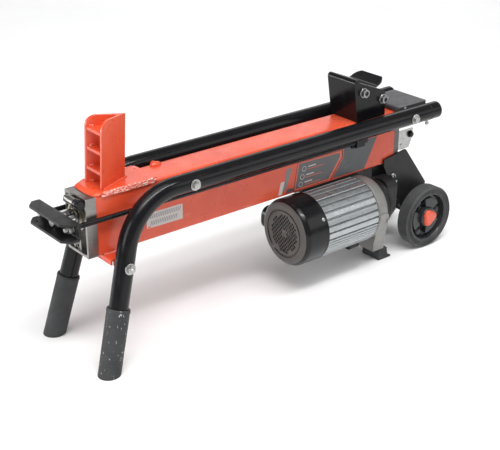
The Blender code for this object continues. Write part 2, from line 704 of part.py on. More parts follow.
def make_pusher():
    path = [FACE_LOW, FACE_TOP, HOOD_END, LIP_END]
    face = plate("XZ", [strip(path, PUSHER_SHEET, 6.0)], -PUSHER_HALF, PUSHER_HALF)
    part("pusher_face", face, "black_paint")

    inner = offset_path(path, PUSHER_SHEET + GAP)
    top_front, hood = Vector(inner[1]), Vector(inner[2])
    fall = (hood.y - top_front.y) / (hood.x - top_front.x)
    rear_top = (CHEEK_REAR - 2, top_front.y + fall * (CHEEK_REAR - 2 - top_front.x))
    outline = [inner[0], (LEG_FRONT, 289), (LEG_FRONT, LEG_LOW), (LEG_REAR, LEG_LOW), (LEG_REAR, FACE_LOW[1]),
               (CHEEK_REAR, FACE_LOW[1]), rear_top, tuple(top_front)]
    holes = [circle(centre, CHEEK_BOLT_RADIUS + GAP, 12) for centre in CHEEK_BOLTS]
    outline = rounded(outline, [0, 0, 3, 3, 0, 3, 6, 3], 3)
    for name, side in SIDES.items():
        low, high = sorted((side * 34.6, side * 38.0))
        cheek = plate("XZ", [outline] + holes, low, high)
        low, high = sorted((side * 37.0, side * 49.5))
        lug = block((LEG_FRONT + 2, low, RAM_Z - 10), (LEG_REAR, high, RAM_Z + 10))
        hole = cylinder((LEG_FRONT - 5, side * TIE_Y, RAM_Z), (LEG_REAR + 5, side * TIE_Y, RAM_Z),
                        TIE_RADIUS + GAP, 12)
        part(f"pusher_cheek_{name}", cut(joined(cheek, lug), hole), "black_paint")

    for name, (x, z) in zip(("front", "rear"), CHEEK_BOLTS):
        bolt = hex_bolt((x, 38.3, z), (0, -1, 0), 38.3 + 50, CHEEK_BOLT_RADIUS, 16, 6.5, washer=10)
        washer = cylinder((x, -38.3, z), (x, -40.3, z), 10, 16)
        nut = cylinder((x, -40.1, z), (x, -48.1, z), 16 / math.sqrt(3), 6)
        spacer = cylinder((x, -34.3, z), (x, 34.3, z), 8, 12)
        part(f"pusher_bolt_{name}", joined(bolt, washer, nut, spacer), "zinc")


# ---------------------------------------------------------------- motor


def motor_point(x, radius=0.0, angle=0.0):
    """A point by its place along the shaft, its radius and its angle up from the near side."""
    return Vector((x, MOTOR_Y - radius * math.cos(angle), MOTOR_Z + radius * math.sin(angle)))


def make_motor_shell():
    pitch = 2 * math.pi / FIN_COUNT
    root = MOTOR_RADIUS - FIN_DEPTH
    fins = []
    for i in range(FIN_COUNT):
        for radius, share in ((root, -0.32), (MOTOR_RADIUS, -0.20), (MOTOR_RADIUS, 0.20), (root, 0.32)):
            angle = (i + share) * pitch
            fins.append((MOTOR_Y + radius * math.cos(angle), MOTOR_Z + radius * math.sin(angle)))
    bore = circle((MOTOR_Y, MOTOR_Z), 54, 24)
    part("motor_housing", plate("YZ", [fins, bore], COWL_REAR + GAP, HOUSING_REAR), "cast_aluminium")

    wall = 2.0
    corner = [(COWL_RADIUS - 9 + 9 * math.sin(a), COWL_FACE + 9 - 9 * math.cos(a))
              for a in (math.radians(30 * k) for k in range(3, -1, -1))]
    inner = [(COWL_RADIUS - 9 + 7 * math.sin(a), COWL_FACE + 9 - 7 * math.cos(a))
             for a in (math.radians(45 * k) for k in range(0, 3))]
    opening = GRILLE_RADIUS - 2
    profile = ([(COWL_RADIUS - wall, COWL_REAR), (COWL_RADIUS, COWL_REAR)] + corner
               + [(opening, COWL_FACE), (opening, COWL_FACE + wall)] + inner)
    cowl = turned((0, MOTOR_Y, MOTOR_Z), (1, 0, 0), profile, 32, closed=True)

    pitch = 19.0
    holes = []
    for row in range(-5, 6):
        for column in range(-3, 4):
            u = (column + 0.5 * (row % 2)) * pitch
            v = row * pitch / 2
            if math.hypot(u, v) < GRILLE_RADIUS - 8:
                centre = (MOTOR_Y + u, MOTOR_Z + v)
                holes.append([(centre[0] - 7.0, centre[1]), (centre[0], centre[1] - 7.0),
                              (centre[0] + 7.0, centre[1]), (centre[0], centre[1] + 7.0)])
    disc = circle((MOTOR_Y, MOTOR_Z), GRILLE_RADIUS, 32)
    grille = plate("YZ", [disc] + holes, COWL_FACE + 0.1, COWL_FACE + wall - 0.1)
    part("fan_cowl", joined(cowl, grille), "black_plastic")


def make_motor_inside():
    profile = [(34, 100), (34, 190), (38, 190), (38, 203), (51, 203), (51, 190), (53.7, 190), (53.7, 100),
               (51, 100), (51, 88), (38, 88), (38, 100)]
    stator = turned((0, MOTOR_Y, MOTOR_Z), (1, 0, 0), profile[::-1], 24, closed=True)
    part("stator", stator, "machined_steel")

    profile = [(0, GEAR_REAR + 1), (STUB_RADIUS, GEAR_REAR + 1), (STUB_RADIUS, 262), (SHAFT_RADIUS, 262),
               (SHAFT_RADIUS, 185), (33.4, 185), (33.4, 105), (SHAFT_RADIUS, 105), (SHAFT_RADIUS, 34), (0, 34)]
    rotor = turned((0, MOTOR_Y, MOTOR_Z), (1, 0, 0), profile, 24)
    part("motor_rotor", rotor, "machined_steel", motor_point(0))

    blades = 9
    outline = []
    for i in range(blades):
        middle = 2 * math.pi * i / blades
        for radius, half in ((15, 0.12), (54, 0.035), (54, -0.035), (15, -0.12)):
            angle = middle - half
            outline.append((MOTOR_Y + radius * math.cos(angle), MOTOR_Z + radius * math.sin(angle)))
    fan = plate("YZ", [outline[::-1], circle((MOTOR_Y, MOTOR_Z), SHAFT_RADIUS + GAP, 24)], 34, 60)
    part("fan", fan, "black_plastic", motor_point(0))


def make_motor_end():
    bore = SHAFT_RADIUS + FIT
    profile = [(46, ADAPTER_REAR), (46, RING_REAR), (56, RING_REAR), (62, RING_REAR - 6),
               (MOTOR_RADIUS - 2, RING_REAR - 15), (MOTOR_RADIUS, HOUSING_REAR + GAP),
               (30, HOUSING_REAR + GAP), (30, 232), (bore, 232), (bore, ADAPTER_REAR)]
    ring_body = turned((0, MOTOR_Y, MOTOR_Z), (1, 0, 0), profile, 32, closed=True)
    leg = [(FOOT_LOW_Y, FOOT_TOP + GAP), (FOOT_HIGH_Y, FOOT_TOP + GAP), (FOOT_HIGH_Y, 46), (MOTOR_Y + 34, 92),
           (MOTOR_Y - 34, 92), (FOOT_LOW_Y, 46)]
    web = plate("YZ", [leg], ADAPTER_REAR - 13, ADAPTER_REAR)
    hub_hole = cylinder(motor_point(ADAPTER_REAR - 20), motor_point(ADAPTER_REAR + 5), SHAFT_RADIUS + 3, 40)
    lug = block((216, MOTOR_Y - 69, 119), (240, MOTOR_Y - 58, 129))
    body = joined(ring_body, cut(web, hub_hole), lug)
    part("end_bracket", body, "cast_aluminium")

    front = ADAPTER_REAR - 12.4
    profile = [(front, 0), (299.3, 0), (299.3, 3.5), (front + 24, 6), (front + 23, FOOT_TOP), (front, FOOT_TOP)]
    part("rubber_foot", plate("XZ", [profile], FOOT_LOW_Y, FOOT_HIGH_Y), "dark_rubber")


# ---------------------------------------------------------------- pump, valve and lever


def make_pump():
    drive = (MOTOR_Y, MOTOR_Z)
    idle = (MOTOR_Y, MOTOR_Z + 2 * GEAR_PITCH)
    radius = 26.0
    outline = rounded(rectangle((MOTOR_Y - radius, drive[1] - radius), (MOTOR_Y + radius, idle[1] + radius)), 18, 5)
    chamber = GEAR_TIP + GAP
    meeting = math.acos(GEAR_PITCH / chamber)
    upper = [(idle[0] + chamber * math.cos(a), idle[1] + chamber * math.sin(a))
             for a in arc_angles(-math.pi / 2 + meeting, 3 * math.pi / 2 - meeting)]
    lower = [(drive[0] + chamber * math.cos(a), drive[1] + chamber * math.sin(a))
             for a in arc_angles(math.pi / 2 + meeting, 5 * math.pi / 2 - meeting)]
    body = plate("YZ", [outline], ADAPTER_REAR + GAP, COVER_REAR)
    chambers = plate("YZ", [upper + lower[1:-1]], ADAPTER_REAR - 5, PUMP_REAR)
    pin = cylinder((ADAPTER_REAR + 1, *idle), (COVER_REAR - 1, *idle), PIN_RADIUS, 20)
    part("pump_housing", joined(cut(body, chambers), pin), "black_paint")

    first = plate("YZ", [spur_gear(drive, 0), circle(drive, STUB_RADIUS + GAP, 20)], GEAR_FRONT, GEAR_REAR)
    part("drive_gear", first, "machined_steel", motor_point(0))
    half_tooth = math.pi / GEAR_TEETH
    second = plate("YZ", [spur_gear(idle, half_tooth), circle(idle, PIN_RADIUS + FIT, 20)], GEAR_FRONT, GEAR_REAR)
    part("idler_gear", second, "machined_steel", (0, *idle))


def arc_angles(start, end, steps=20):
    return [start + (end - start) * i / steps for i in range(steps + 1)]


def make_valve():
    body = block((283, -21.7, 112), (330, 30, BEAM_LOW - GAP))
    part("valve_block", body, "black_paint")

    half = LEVER_WIDTH / 2
    pivot = (LEVER_X, LEVER_Y, LEVER_PIVOT_Z)
    bar = strip([(LEVER_Y - 2.5, 171), (LEVER_Y - 2.5, LEVER_ARM_Z + 2.5), (86, LEVER_ARM_Z + 2.5)], 5, 8)
    arm = plate("YZ", [bar], LEVER_X - half, LEVER_X + half)
    boss = cylinder((LEVER_X - half, *pivot[1:]), (LEVER_X + half, *pivot[1:]), 8, 16)
    pin = cylinder((LEVER_X - half - 8, *pivot[1:]), (LEVER_X + half + 8, *pivot[1:]), PIN_RADIUS, 16)
    grip_profile = [(0, 35), (8, 35), (11.5, 31), (12, 20), (10.5, 8), (11, 0), (0, 0)]
    grip = turned((LEVER_X, GRIP_START, LEVER_ARM_Z), (0, 1, 0), grip_profile, 12)
    part("control_lever", joined(arm, boss, pin, grip), "black_plastic", pivot)


# ---------------------------------------------------------------- wheels


def make_wheel_bracket():
    outline = rounded([(300, 206.2), (301, 192), (333, 127), (354.6, 95.4), (380, 54), (414, 54), (424, 84),
                       (431, 126), (364, 215.5)], [2, 3, 8, 8, 14, 14, 10, 6, 3], 4)
    bolt = circle((329, 164), 4, 12)
    for name, side in SIDES.items():
        low, high = sorted((side * BRACKET_Y, side * (BRACKET_Y + BRACKET_SHEET)))
        body = plate("XZ", [outline, bolt], low, high)
        outer = side * (WHEEL_OUTER_Y - WHEEL_WIDTH - 1)
        boss = cylinder((WHEEL_X, side * 1, WHEEL_RADIUS), (WHEEL_X, outer, WHEEL_RADIUS), 10, 16)
        bore = cylinder((WHEEL_X, side * -10, WHEEL_RADIUS), (WHEEL_X, side * 90, WHEEL_RADIUS),
                        AXLE_RADIUS + GAP, 16)
        part(f"wheel_bracket_{name}", cut(joined(body, boss), bore), "black_paint")
    axle = cylinder((WHEEL_X, -86, WHEEL_RADIUS), (WHEEL_X, 86, WHEEL_RADIUS), AXLE_RADIUS, 32)
    part("axle", axle, "zinc")


def make_wheel(name, side):
    centre = Vector((WHEEL_X, 0, WHEEL_RADIUS))
    outward = (0, side, 0)
    inner = WHEEL_OUTER_Y - WHEEL_WIDTH
    outer = WHEEL_OUTER_Y
    tread = WHEEL_RADIUS
    tyre = [(52, outer - 2), (62, outer), (tread, outer - 5), (tread, inner + 5), (62, inner), (52, inner + 2)]
    part(f"tyre_{name}", turned(centre, outward, tyre, 32, closed=True), "tyre_rubber", centre)
    bore = AXLE_RADIUS + FIT
    hub = [(bore, outer - 1.2), (19, outer - 1.2), (22, outer - 6), (47, outer - 6), (49, outer - 3),
           (51.7, outer - 3), (51.7, inner + 3), (47, inner + 3), (42, inner + 9), (16, inner + 9), (16, inner),
           (bore, inner)]
    part(f"hub_{name}", turned(centre, outward, hub, 20, closed=True), "black_plastic", centre)
    lobes = [(20 + 1.2 * math.cos(3 * a)) for a in arc_angles(0, 2 * math.pi, 36)[:-1]]
    outline = [(WHEEL_X + r * math.cos(a), WHEEL_RADIUS + r * math.sin(a))
               for r, a in zip(lobes, arc_angles(0, 2 * math.pi, 36))]
    low, high = sorted((side * (outer - 1.2 + GAP), side * (outer + 6)))
    part(f"hub_cap_{name}", plate("XZ", [outline], low, high), "cap_orange", centre)


# ---------------------------------------------------------------- switch box


def make_switch_box():
    low, high = Vector(BOX_LOW), Vector(BOX_HIGH)
    wall = Vector((BOX_WALL, BOX_WALL, BOX_WALL))
    cavity = block(low + wall, (high.x - BOX_WALL, high.y + 5, high.z - BOX_WALL))
    part("switch_box", cut(block(low, high), cavity), "black_plastic")

    lid_low = high.y + GAP
    outline = rounded(rectangle((low.x, low.z), (high.x, high.z)), 5)
    middle_z = (low.z + high.z) / 2
    hole = circle((BUTTON_X, middle_z), BUTTON_RADIUS + GAP, 24)
    part("switch_lid", plate("XZ", [outline, hole], lid_low, lid_low + LID_SHEET), "black_plastic")
    centre = (BUTTON_X, lid_low, middle_z)
    profile = [(0, 8.5), (BUTTON_RADIUS - 1.5, 8.5), (BUTTON_RADIUS, 7), (BUTTON_RADIUS, -1), (10, -1), (10, -4), (0, -4)]
    part("start_button", turned(centre, (0, 1, 0), profile, 24), "button_green", centre)

    shroud = turned((high.x + GAP, 37, middle_z), (1, 0, 0),
                    [(0, 4), (14.5, 4), (14.5, 24), (17, 24), (17, 0), (0, 0)], 28)
    pins = [cylinder((high.x + 3, 37 + y, middle_z + z), (high.x + 20, 37 + y, middle_z + z), 2.0, 10)
            for y, z in ((-6, -3.5), (6, -3.5), (0, 7))]
    part("power_inlet", joined(shroud, *pins), "black_plastic")


# ---------------------------------------------------------------- assembly

make_beam()
make_end_blocks()
make_wedge()
for side_name, side_sign in SIDES.items():
    make_tube(f"tube_{side_name}", side_sign)
    make_foot_sleeve(side_name, side_sign)
    make_tube_fittings(side_name, side_sign)
    make_wheel(side_name, side_sign)
make_leg_bracket()
make_rear_cover()
make_cylinder()
make_ram()
make_yoke()
make_pusher()
make_motor_shell()
make_motor_inside()
make_motor_end()
make_pump()
make_valve()
make_wheel_bracket()
make_switch_box()
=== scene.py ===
"""Looks of the electric log splitter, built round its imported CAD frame.

Lengths are in millimetres and become metres through MM, except where a comment says otherwise.
"""

import math

import bmesh
import bpy
from mathutils import Matrix, Vector, noise


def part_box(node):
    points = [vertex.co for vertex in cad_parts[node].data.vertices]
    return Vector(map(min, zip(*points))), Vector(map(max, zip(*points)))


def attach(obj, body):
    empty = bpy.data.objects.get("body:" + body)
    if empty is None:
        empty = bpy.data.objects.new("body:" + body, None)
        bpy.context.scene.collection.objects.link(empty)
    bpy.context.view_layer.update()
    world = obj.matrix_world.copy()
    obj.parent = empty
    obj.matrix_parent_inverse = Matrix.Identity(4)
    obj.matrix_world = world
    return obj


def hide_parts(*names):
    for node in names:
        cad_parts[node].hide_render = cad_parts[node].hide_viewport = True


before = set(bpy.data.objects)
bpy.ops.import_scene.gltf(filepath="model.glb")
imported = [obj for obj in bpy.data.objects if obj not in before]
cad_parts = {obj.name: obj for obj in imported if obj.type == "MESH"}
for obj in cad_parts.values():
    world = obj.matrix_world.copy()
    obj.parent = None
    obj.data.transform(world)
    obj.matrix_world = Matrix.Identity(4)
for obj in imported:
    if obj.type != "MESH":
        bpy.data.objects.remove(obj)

MM = 0.001
WELD_SEED = 1
noise.seed_set(WELD_SEED)  # noise_vector would otherwise start from the clock, and differ in each run
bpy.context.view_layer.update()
SIDES = {"near": -1, "far": 1}
PLANES = {
    "XY": Matrix(((1, 0, 0), (0, 1, 0), (0, 0, 1))),
    "YZ": Matrix(((0, 0, 1), (1, 0, 0), (0, 1, 0))),
    "XZ": Matrix(((1, 0, 0), (0, 0, -1), (0, 1, 0))),
}


def span(node):
    """A node's lowest and highest corner at rest, in millimetres."""
    low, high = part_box(node)
    return Vector(low) / MM, Vector(high) / MM


def middle(node):
    """The middle of a node's box, as x, y and z."""
    low, high = span(node)
    return [(a + b) / 2 for a, b in zip(low, high)]


# ---------------------------------------------------------------- places

# Read from the frame where a node's box gives them, and otherwise the same as the CAD's own numbers

BEAM, BEAM_END = span("beam")
BEAM_HALF = 33.7
BEAM_LOW = BEAM.z
BEAM_TOP = 305.0
STEP_X = 305.0
STEP_Z = 204.0
RAM_Z = middle("piston_rod")[2]
TUBE_RADIUS = 17.2
RAIL_Z = span("tube_near")[1].z - TUBE_RADIUS
RAIL_Y = 65.7
RAIL_REAR = span("tube_near")[1].x
CORNER_X = -328.8
BEND_RADIUS = 114.0
SLEEVE_HEIGHT = 115.0
FOOT = Vector((-412.9, 93.6, 0))
FRONT_BOLT_X = middle("rail_bolt_front_near")[0]
REAR_BOLT_X = middle("rail_bolt_rear_near")[0]
LEG_BOLT_X, _, LEG_BOLT_Z = middle("leg_bolt")
TIE_Y = 42.9
CAP = (span("oil_cap")[0] + span("oil_cap")[1]) / 2
MOTOR = (-48.0, 125.0)
MOTOR_RADIUS = 67.0
COWL_RADIUS = 68.0
WHEEL = tuple(middle("axle")[0::2])
WHEEL_RADIUS = 67.0
WHEEL_OUTER = 87.1
WHEEL_INNER = 55.1

# Valve and its lever
LEVER = Vector((286.0, 46.8, 215.0))
LEVER_HALF = 7.0
LEVER_ARM_Z = 262.0
SPOOL_Z = 178.0
PORT = (306.5, 136.0)

# Front block and wedge
GLAND_RADIUS = 23.0
BLOCK_DEPTH = 20.2
WEDGE_EDGE_X = -302.0
WEDGE_REAR_X = -366.0
WEDGE_HALF = 27.0
WEDGE_SHEET = 5.0
WEDGE_HEIGHT = 119.0
WEDGE_LEAN = math.radians(3.7)
WEDGE_ROUND = 18
RIB_LEVELS = (338.0, 373.0, 407.0)

# Motor details
COWL_WALL = 2.0
COWL_CORNER = 14
COWL_SCREW_X = 71.4
END_BOLT_RADIUS = 49
GRILLE_PITCH = (7.8, 9.0)
GRILLE_HOLE = (3.0, 3.5)

# Camera and studio, in metres and degrees
CAMERA_PLACE = (-1.2545, -1.5163, 1.0292)
CAMERA_AZIMUTH = -39.06
CAMERA_ELEVATION = 24.50
CAMERA_LENS = 79.70
WORLD_STRENGTH = 0.25
SKY_ENERGY = 1.75
SKY_ANGLE = 55
SOFTBOXES = (  # name, place, target, size, power
    ("key", (-0.2, -1.15, 2.6), (0, 0, 0.25), (2.6, 0.25), 44),
    ("front", (-2.9, -0.45, 1.35), (-0.2, 0, 0.25), (1.2, 1.6), 25),
    ("fill", (1.9, -2.2, 1.5), (0.1, 0, 0.2), (1.6, 1.6), 10),
    ("back", (1.9, 2.3, 1.5), (0, 0, 0.3), (2.6, 1.2), 11),
    ("edge", (-1.7, 1.75, 0.5), (0.2, 0, 0.3), (0.45, 0.9), 12),
)


# ---------------------------------------------------------------- outlines, as lists of (u, v) points


def circle(centre, radius, sides=48):
    step = 2 * math.pi / sides
    return [(centre[0] + radius * math.cos(i * step), centre[1] + radius * math.sin(i * step))
            for i in range(sides)]


def rectangle(low, high):
    return [(low[0], low[1]), (high[0], low[1]), (high[0], high[1]), (low[0], high[1])]


def rounded(corners, radii, steps=8):
    """The closed outline through corners, each one rounded by its radius."""
    points = []
    count = len(corners)
    for i, corner in enumerate(corners):
        radius = radii[i] if isinstance(radii, (list, tuple)) else radii
        if radius <= 0:
            points.append(tuple(corner))
            continue
        here = Vector(corner)
        before = (Vector(corners[i - 1]) - here).normalized()
        after = (Vector(corners[(i + 1) % count]) - here).normalized()
        half = before.angle(after) / 2
        centre = here + (before + after).normalized() * (radius / math.sin(half))
        first = here + before * (radius / math.tan(half)) - centre
        last = here + after * (radius / math.tan(half)) - centre
        sweep = math.atan2(first.x * last.y - first.y * last.x, first.dot(last))
        for k in range(steps + 1):
            points.append(tuple(centre + Matrix.Rotation(sweep * k / steps, 2) @ first))
    return points


def offset_path(path, distance):
    """An open path moved sideways, to the right of its direction, with mitred corners."""
    points = [Vector(p) for p in path]
    moved = []
    for i, point in enumerate(points):
        normals = []
        for a, b in ((i - 1, i), (i, i + 1)):
            if a >= 0 and b < len(points):
                along_leg = (points[b] - points[a]).normalized()
                normals.append(Vector((along_leg.y, -along_leg.x)))
        mean = sum(normals, Vector((0, 0))).normalized()
        moved.append(tuple(point + mean * (distance / mean.dot(normals[0]))))
    return moved


def strip(path, thickness, bend):
    """Outline of a bent sheet: path is its outer surface, and its thickness is to the right of it."""
    middle = len(path) - 2
    radii = [0] + [bend] * middle + [0, 0] + [max(bend - thickness, 0.8)] * middle + [0]
    return rounded(list(path) + offset_path(path, thickness)[::-1], radii)


# ---------------------------------------------------------------- meshes, in world metres


def evaluated_mesh(obj):
    """The mesh that an object's modifiers or curve settings give, with loose caps welded."""
    bpy.context.scene.collection.objects.link(obj)
    graph = bpy.context.evaluated_depsgraph_get()
    mesh = bpy.data.meshes.new_from_object(obj.evaluated_get(graph))
    mesh.transform(obj.matrix_world)
    bpy.data.objects.remove(obj, do_unlink=True)
    work = bmesh.new()
    work.from_mesh(mesh)
    bmesh.ops.remove_doubles(work, verts=work.verts, dist=0.00001)
    bmesh.ops.recalc_face_normals(work, faces=work.faces)
    work.to_mesh(mesh)
    work.free()
    return mesh


def plate(plane, loops, low, high):
    """Closed outlines filled and thickened from low to high along the plane's normal."""
    curve = bpy.data.curves.new("outline", "CURVE")
    curve.dimensions = "2D"
    curve.fill_mode = "BOTH"
    curve.extrude = (high - low) / 2 * MM
    for loop in loops:
        spline = curve.splines.new("POLY")
        spline.points.add(len(loop) - 1)
        for point, (u, v) in zip(spline.points, loop):
            point.co = (u * MM, v * MM, 0, 1)
        spline.use_cyclic_u = True
    mesh = evaluated_mesh(bpy.data.objects.new("outline", curve))
    turn = PLANES[plane]
    normal = turn @ Vector((0, 0, 1))
    sign = normal.x + normal.y + normal.z
    mesh.transform(Matrix.Translation(normal * sign * (low + high) / 2 * MM) @ turn.to_4x4())
    return mesh


def sided_plate(loops, side, low, high):
    """An XZ plate on the near or the far side, between two distances from the middle."""
    first, last = sorted((side * low, side * high))
    return plate("XZ", loops, first, last)


def mesh_from(work):
    mesh = bpy.data.meshes.new("mesh")
    work.to_mesh(mesh)
    work.free()
    return mesh


def block(low, high):
    work = bmesh.new()
    bmesh.ops.create_cube(work, size=1)
    bmesh.ops.scale(work, vec=(Vector(high) - Vector(low)) * MM, verts=work.verts)
    bmesh.ops.translate(work, vec=(Vector(high) + Vector(low)) / 2 * MM, verts=work.verts)
    return mesh_from(work)


def along(direction):
    """The turn that points local +Z along direction."""
    return Vector(direction).to_track_quat("Z", "Y").to_matrix().to_4x4()


def cylinder(start, end, radius, sides=48):
    work = bmesh.new()
    axis = (Vector(end) - Vector(start)) * MM
    bmesh.ops.create_cone(
        work, cap_ends=True, segments=sides, radius1=radius * MM, radius2=radius * MM, depth=axis.length)
    bmesh.ops.transform(work, matrix=along(axis), verts=work.verts)
    bmesh.ops.translate(work, vec=Vector(start) * MM + axis / 2, verts=work.verts)
    return mesh_from(work)


def turned(origin, direction, profile, sides=64, closed=False):
    """A turned solid: profile is (radius, distance along direction)."""
    mesh = bpy.data.meshes.new("profile")
    edges = [(i, i + 1) for i in range(len(profile) - 1)]
    if closed:
        edges.append((len(profile) - 1, 0))
    mesh.from_pydata([(r * MM, 0, h * MM) for r, h in profile], edges, [])
    obj = bpy.data.objects.new("turned", mesh)
    screw = obj.modifiers.new("turn", "SCREW")
    screw.steps = sides
    screw.render_steps = sides
    screw.use_merge_vertices = True
    screw.merge_threshold = 0.000005
    solid = evaluated_mesh(obj)
    solid.transform(Matrix.Translation(Vector(origin) * MM) @ along(direction))
    return solid


def ring(start, end, inner, outer, sides=48):
    axis = Vector(end) - Vector(start)
    length = axis.length
    chamfer = min(0.4, length / 4)
    profile = [(outer - chamfer, length), (outer, length - chamfer), (outer, chamfer), (outer - chamfer, 0),
               (inner, 0), (inner, length)]
    return turned(start, axis, profile, sides, closed=True)


def merged(meshes):
    """Several meshes in one."""
    work = bmesh.new()
    for mesh in meshes:
        work.from_mesh(mesh)
    return mesh_from(work)


def combined(base, others, operation):
    """A mesh after an exact Boolean with each of the others in turn."""
    obj = bpy.data.objects.new("base", base)
    tools = []
    for other in others:
        tool = bpy.data.objects.new("cutter", other)
        bpy.context.scene.collection.objects.link(tool)
        tools.append(tool)
        boolean = obj.modifiers.new("cut", "BOOLEAN")
        boolean.solver = "EXACT"
        boolean.operation = operation
        boolean.object = tool
    result = evaluated_mesh(obj)
    for tool in tools:
        bpy.data.objects.remove(tool, do_unlink=True)
    return result


def cut(base, *tools):
    return combined(base, tools, "DIFFERENCE")


def joined(base, *others):
    return combined(base, others, "UNION")


def lofted(rows):
    """A closed solid through rings of points, in millimetres, with both ends capped."""
    work = bmesh.new()
    rings = [[work.verts.new(Vector(point) * MM) for point in row] for row in rows]
    count = len(rings[0])
    for a, b in zip(rings, rings[1:]):
        for k in range(count):
            work.faces.new((a[k], a[(k + 1) % count], b[(k + 1) % count], b[k]))
    work.faces.new(rings[0][::-1])
    work.faces.new(rings[-1])
    bmesh.ops.recalc_face_normals(work, faces=work.faces)
    return mesh_from(work)


def swept(path, radii, sides=12):
    """A closed rod through a path, with a radius for each point."""
    rows = []
    points = [Vector(p) for p in path]
    for i, point in enumerate(points):
        heading = (points[min(i + 1, len(points) - 1)] - points[max(i - 1, 0)]).normalized()
        guide = Vector((0, 0, 1)) if abs(heading.z) < 0.9 else Vector((0, 1, 0))
        across = heading.cross(guide).normalized()
        up = across.cross(heading)
        turns = [2 * math.pi * k / sides for k in range(sides)]
        rows.append([point + (across * math.cos(a) + up * math.sin(a)) * radii[i] for a in turns])
    return lofted(rows)


def resampled(path, pitch):
    """Points at an even pitch along an open path."""
    points = [Vector(p) for p in path]
    result = []
    for a, b in zip(points, points[1:]):
        count = max(1, round((b - a).length / pitch))
        result += [a.lerp(b, i / count) for i in range(count)]
    return result + [points[-1]]


# ---------------------------------------------------------------- materials


class Nodes:
    """Short calls for the shader nodes that the materials share."""

    def __init__(self, name):
        self.material = bpy.data.materials.new(name)
        self.material.use_nodes = True
        self.tree = self.material.node_tree
        self.shader = self.tree.nodes["Principled BSDF"]
        self.place = self.tree.nodes.new("ShaderNodeTexCoord").outputs["Object"]

    def add(self, kind, inputs=None, **settings):
        node = self.tree.nodes.new(kind)
        for key, value in settings.items():
            setattr(node, key, value)
        for key, value in (inputs or {}).items():
            if hasattr(value, "is_output"):
                self.tree.links.new(value, node.inputs[key])
            else:
                node.inputs[key].default_value = value
        return node

    def noise(self, scale, detail=3.0, stretch=(1, 1, 1), rough=0.55):
        mapping = self.add("ShaderNodeMapping", {"Vector": self.place, "Scale": stretch})
        inputs = {"Vector": mapping.outputs[0], "Scale": scale, "Detail": detail, "Roughness": rough}
        return self.add("ShaderNodeTexNoise", inputs).outputs["Fac"]

    def spread(self, value, low, high, to_low=0.0, to_high=1.0):
        """A value stretched from low..high to to_low..to_high, and held inside it."""
        inputs = {"Value": value, "From Min": low, "From Max": high, "To Min": to_low, "To Max": to_high}
        return self.add("ShaderNodeMapRange", inputs).outputs["Result"]

    def mix(self, factor, first, second):
        node = self.add("ShaderNodeMix", data_type="RGBA")
        for socket, value in ((node.inputs["Factor"], factor), (node.inputs[6], first),
                              (node.inputs[7], second)):
            if hasattr(value, "is_output"):
                self.tree.links.new(value, socket)
            else:
                socket.default_value = value if isinstance(value, float) else (*value, 1.0)
        return node.outputs[2]

    def bump(self, height, strength, distance, before=None):
        inputs = {"Height": height, "Strength": strength, "Distance": distance * MM}
        if before is not None:
            inputs["Normal"] = before
        return self.add("ShaderNodeBump", inputs).outputs["Normal"]

    def finish(self, colour, roughness, normal, metallic=0.0, coat=0.0, specular=0.5):
        for socket, value in (("Base Color", colour), ("Roughness", roughness), ("Normal", normal)):
            self.tree.links.new(value, self.shader.inputs[socket])
        self.shader.inputs["Metallic"].default_value = metallic
        self.shader.inputs["Coat Weight"].default_value = coat
        self.shader.inputs["Coat Roughness"].default_value = 0.12
        self.shader.inputs["Specular IOR Level"].default_value = specular
        return self.material


def enamel(name, colour, shade, dust, roughness, coat, peel=0.10):
    """Sprayed paint: cloudy tone, fine orange peel, faint scuffs along X and a little dust."""
    n = Nodes(name)
    cloud = n.spread(n.noise(14, 4), 0.35, 0.68)
    tone = n.mix(cloud, colour, shade)
    scuffs = n.spread(n.noise(70, 5, (0.25, 1.6, 1.6)), 0.66, 0.74, 0.0, 0.35)
    tone = n.mix(scuffs, tone, dust)
    specks = n.spread(n.noise(900, 2), 0.70, 0.78, 0.0, 0.30)
    tone = n.mix(specks, tone, dust)
    rough = n.spread(n.noise(38, 5), 0.3, 0.7, roughness - 0.06, roughness + 0.10)
    waves = n.bump(n.noise(110, 2), 0.10, 1.0)
    normal = n.bump(n.noise(620, 2), peel, 0.5, waves)
    return n.finish(tone, rough, normal, coat=coat)


def powder(name, colour, shade, roughness, grain=0.25, specular=0.4):
    """Powder coat or moulded plastic: a fine even grain, slight cloudiness and pale rub marks."""
    n = Nodes(name)
    cloud = n.spread(n.noise(20, 4), 0.35, 0.7)
    tone = n.mix(cloud, colour, shade)
    rubs = n.spread(n.noise(160, 6, (0.3, 1.2, 1.2)), 0.70, 0.78, 0.0, 0.16)
    tone = n.mix(rubs, tone, tuple(min(1.0, c * 4 + 0.05) for c in colour))
    rough = n.spread(n.noise(60, 5), 0.3, 0.7, roughness - 0.05, roughness + 0.09)
    normal = n.bump(n.noise(1500, 2), grain, 0.25)
    return n.finish(tone, rough, normal, specular=specular)


def cast_metal(name, colour, shade, roughness, grain, metallic=0.85):
    """Cast metal: a fine grain with small dark pits and cloudy blotches of oxide."""
    n = Nodes(name)
    blotch = n.spread(n.noise(45, 6), 0.35, 0.68)
    tone = n.mix(blotch, colour, shade)
    pits = n.spread(n.noise(900, 3), 0.66, 0.78, 0.0, 0.15)
    tone = n.mix(pits, tone, tuple(c * 0.45 for c in shade))
    rough = n.spread(n.noise(90, 5), 0.3, 0.7, roughness - 0.07, roughness + 0.12)
    coarse = n.bump(n.noise(420, 4), grain, 0.6)
    normal = n.bump(n.noise(1600, 2), grain, 0.2, coarse)
    return n.finish(tone, rough, normal, metallic=metallic)


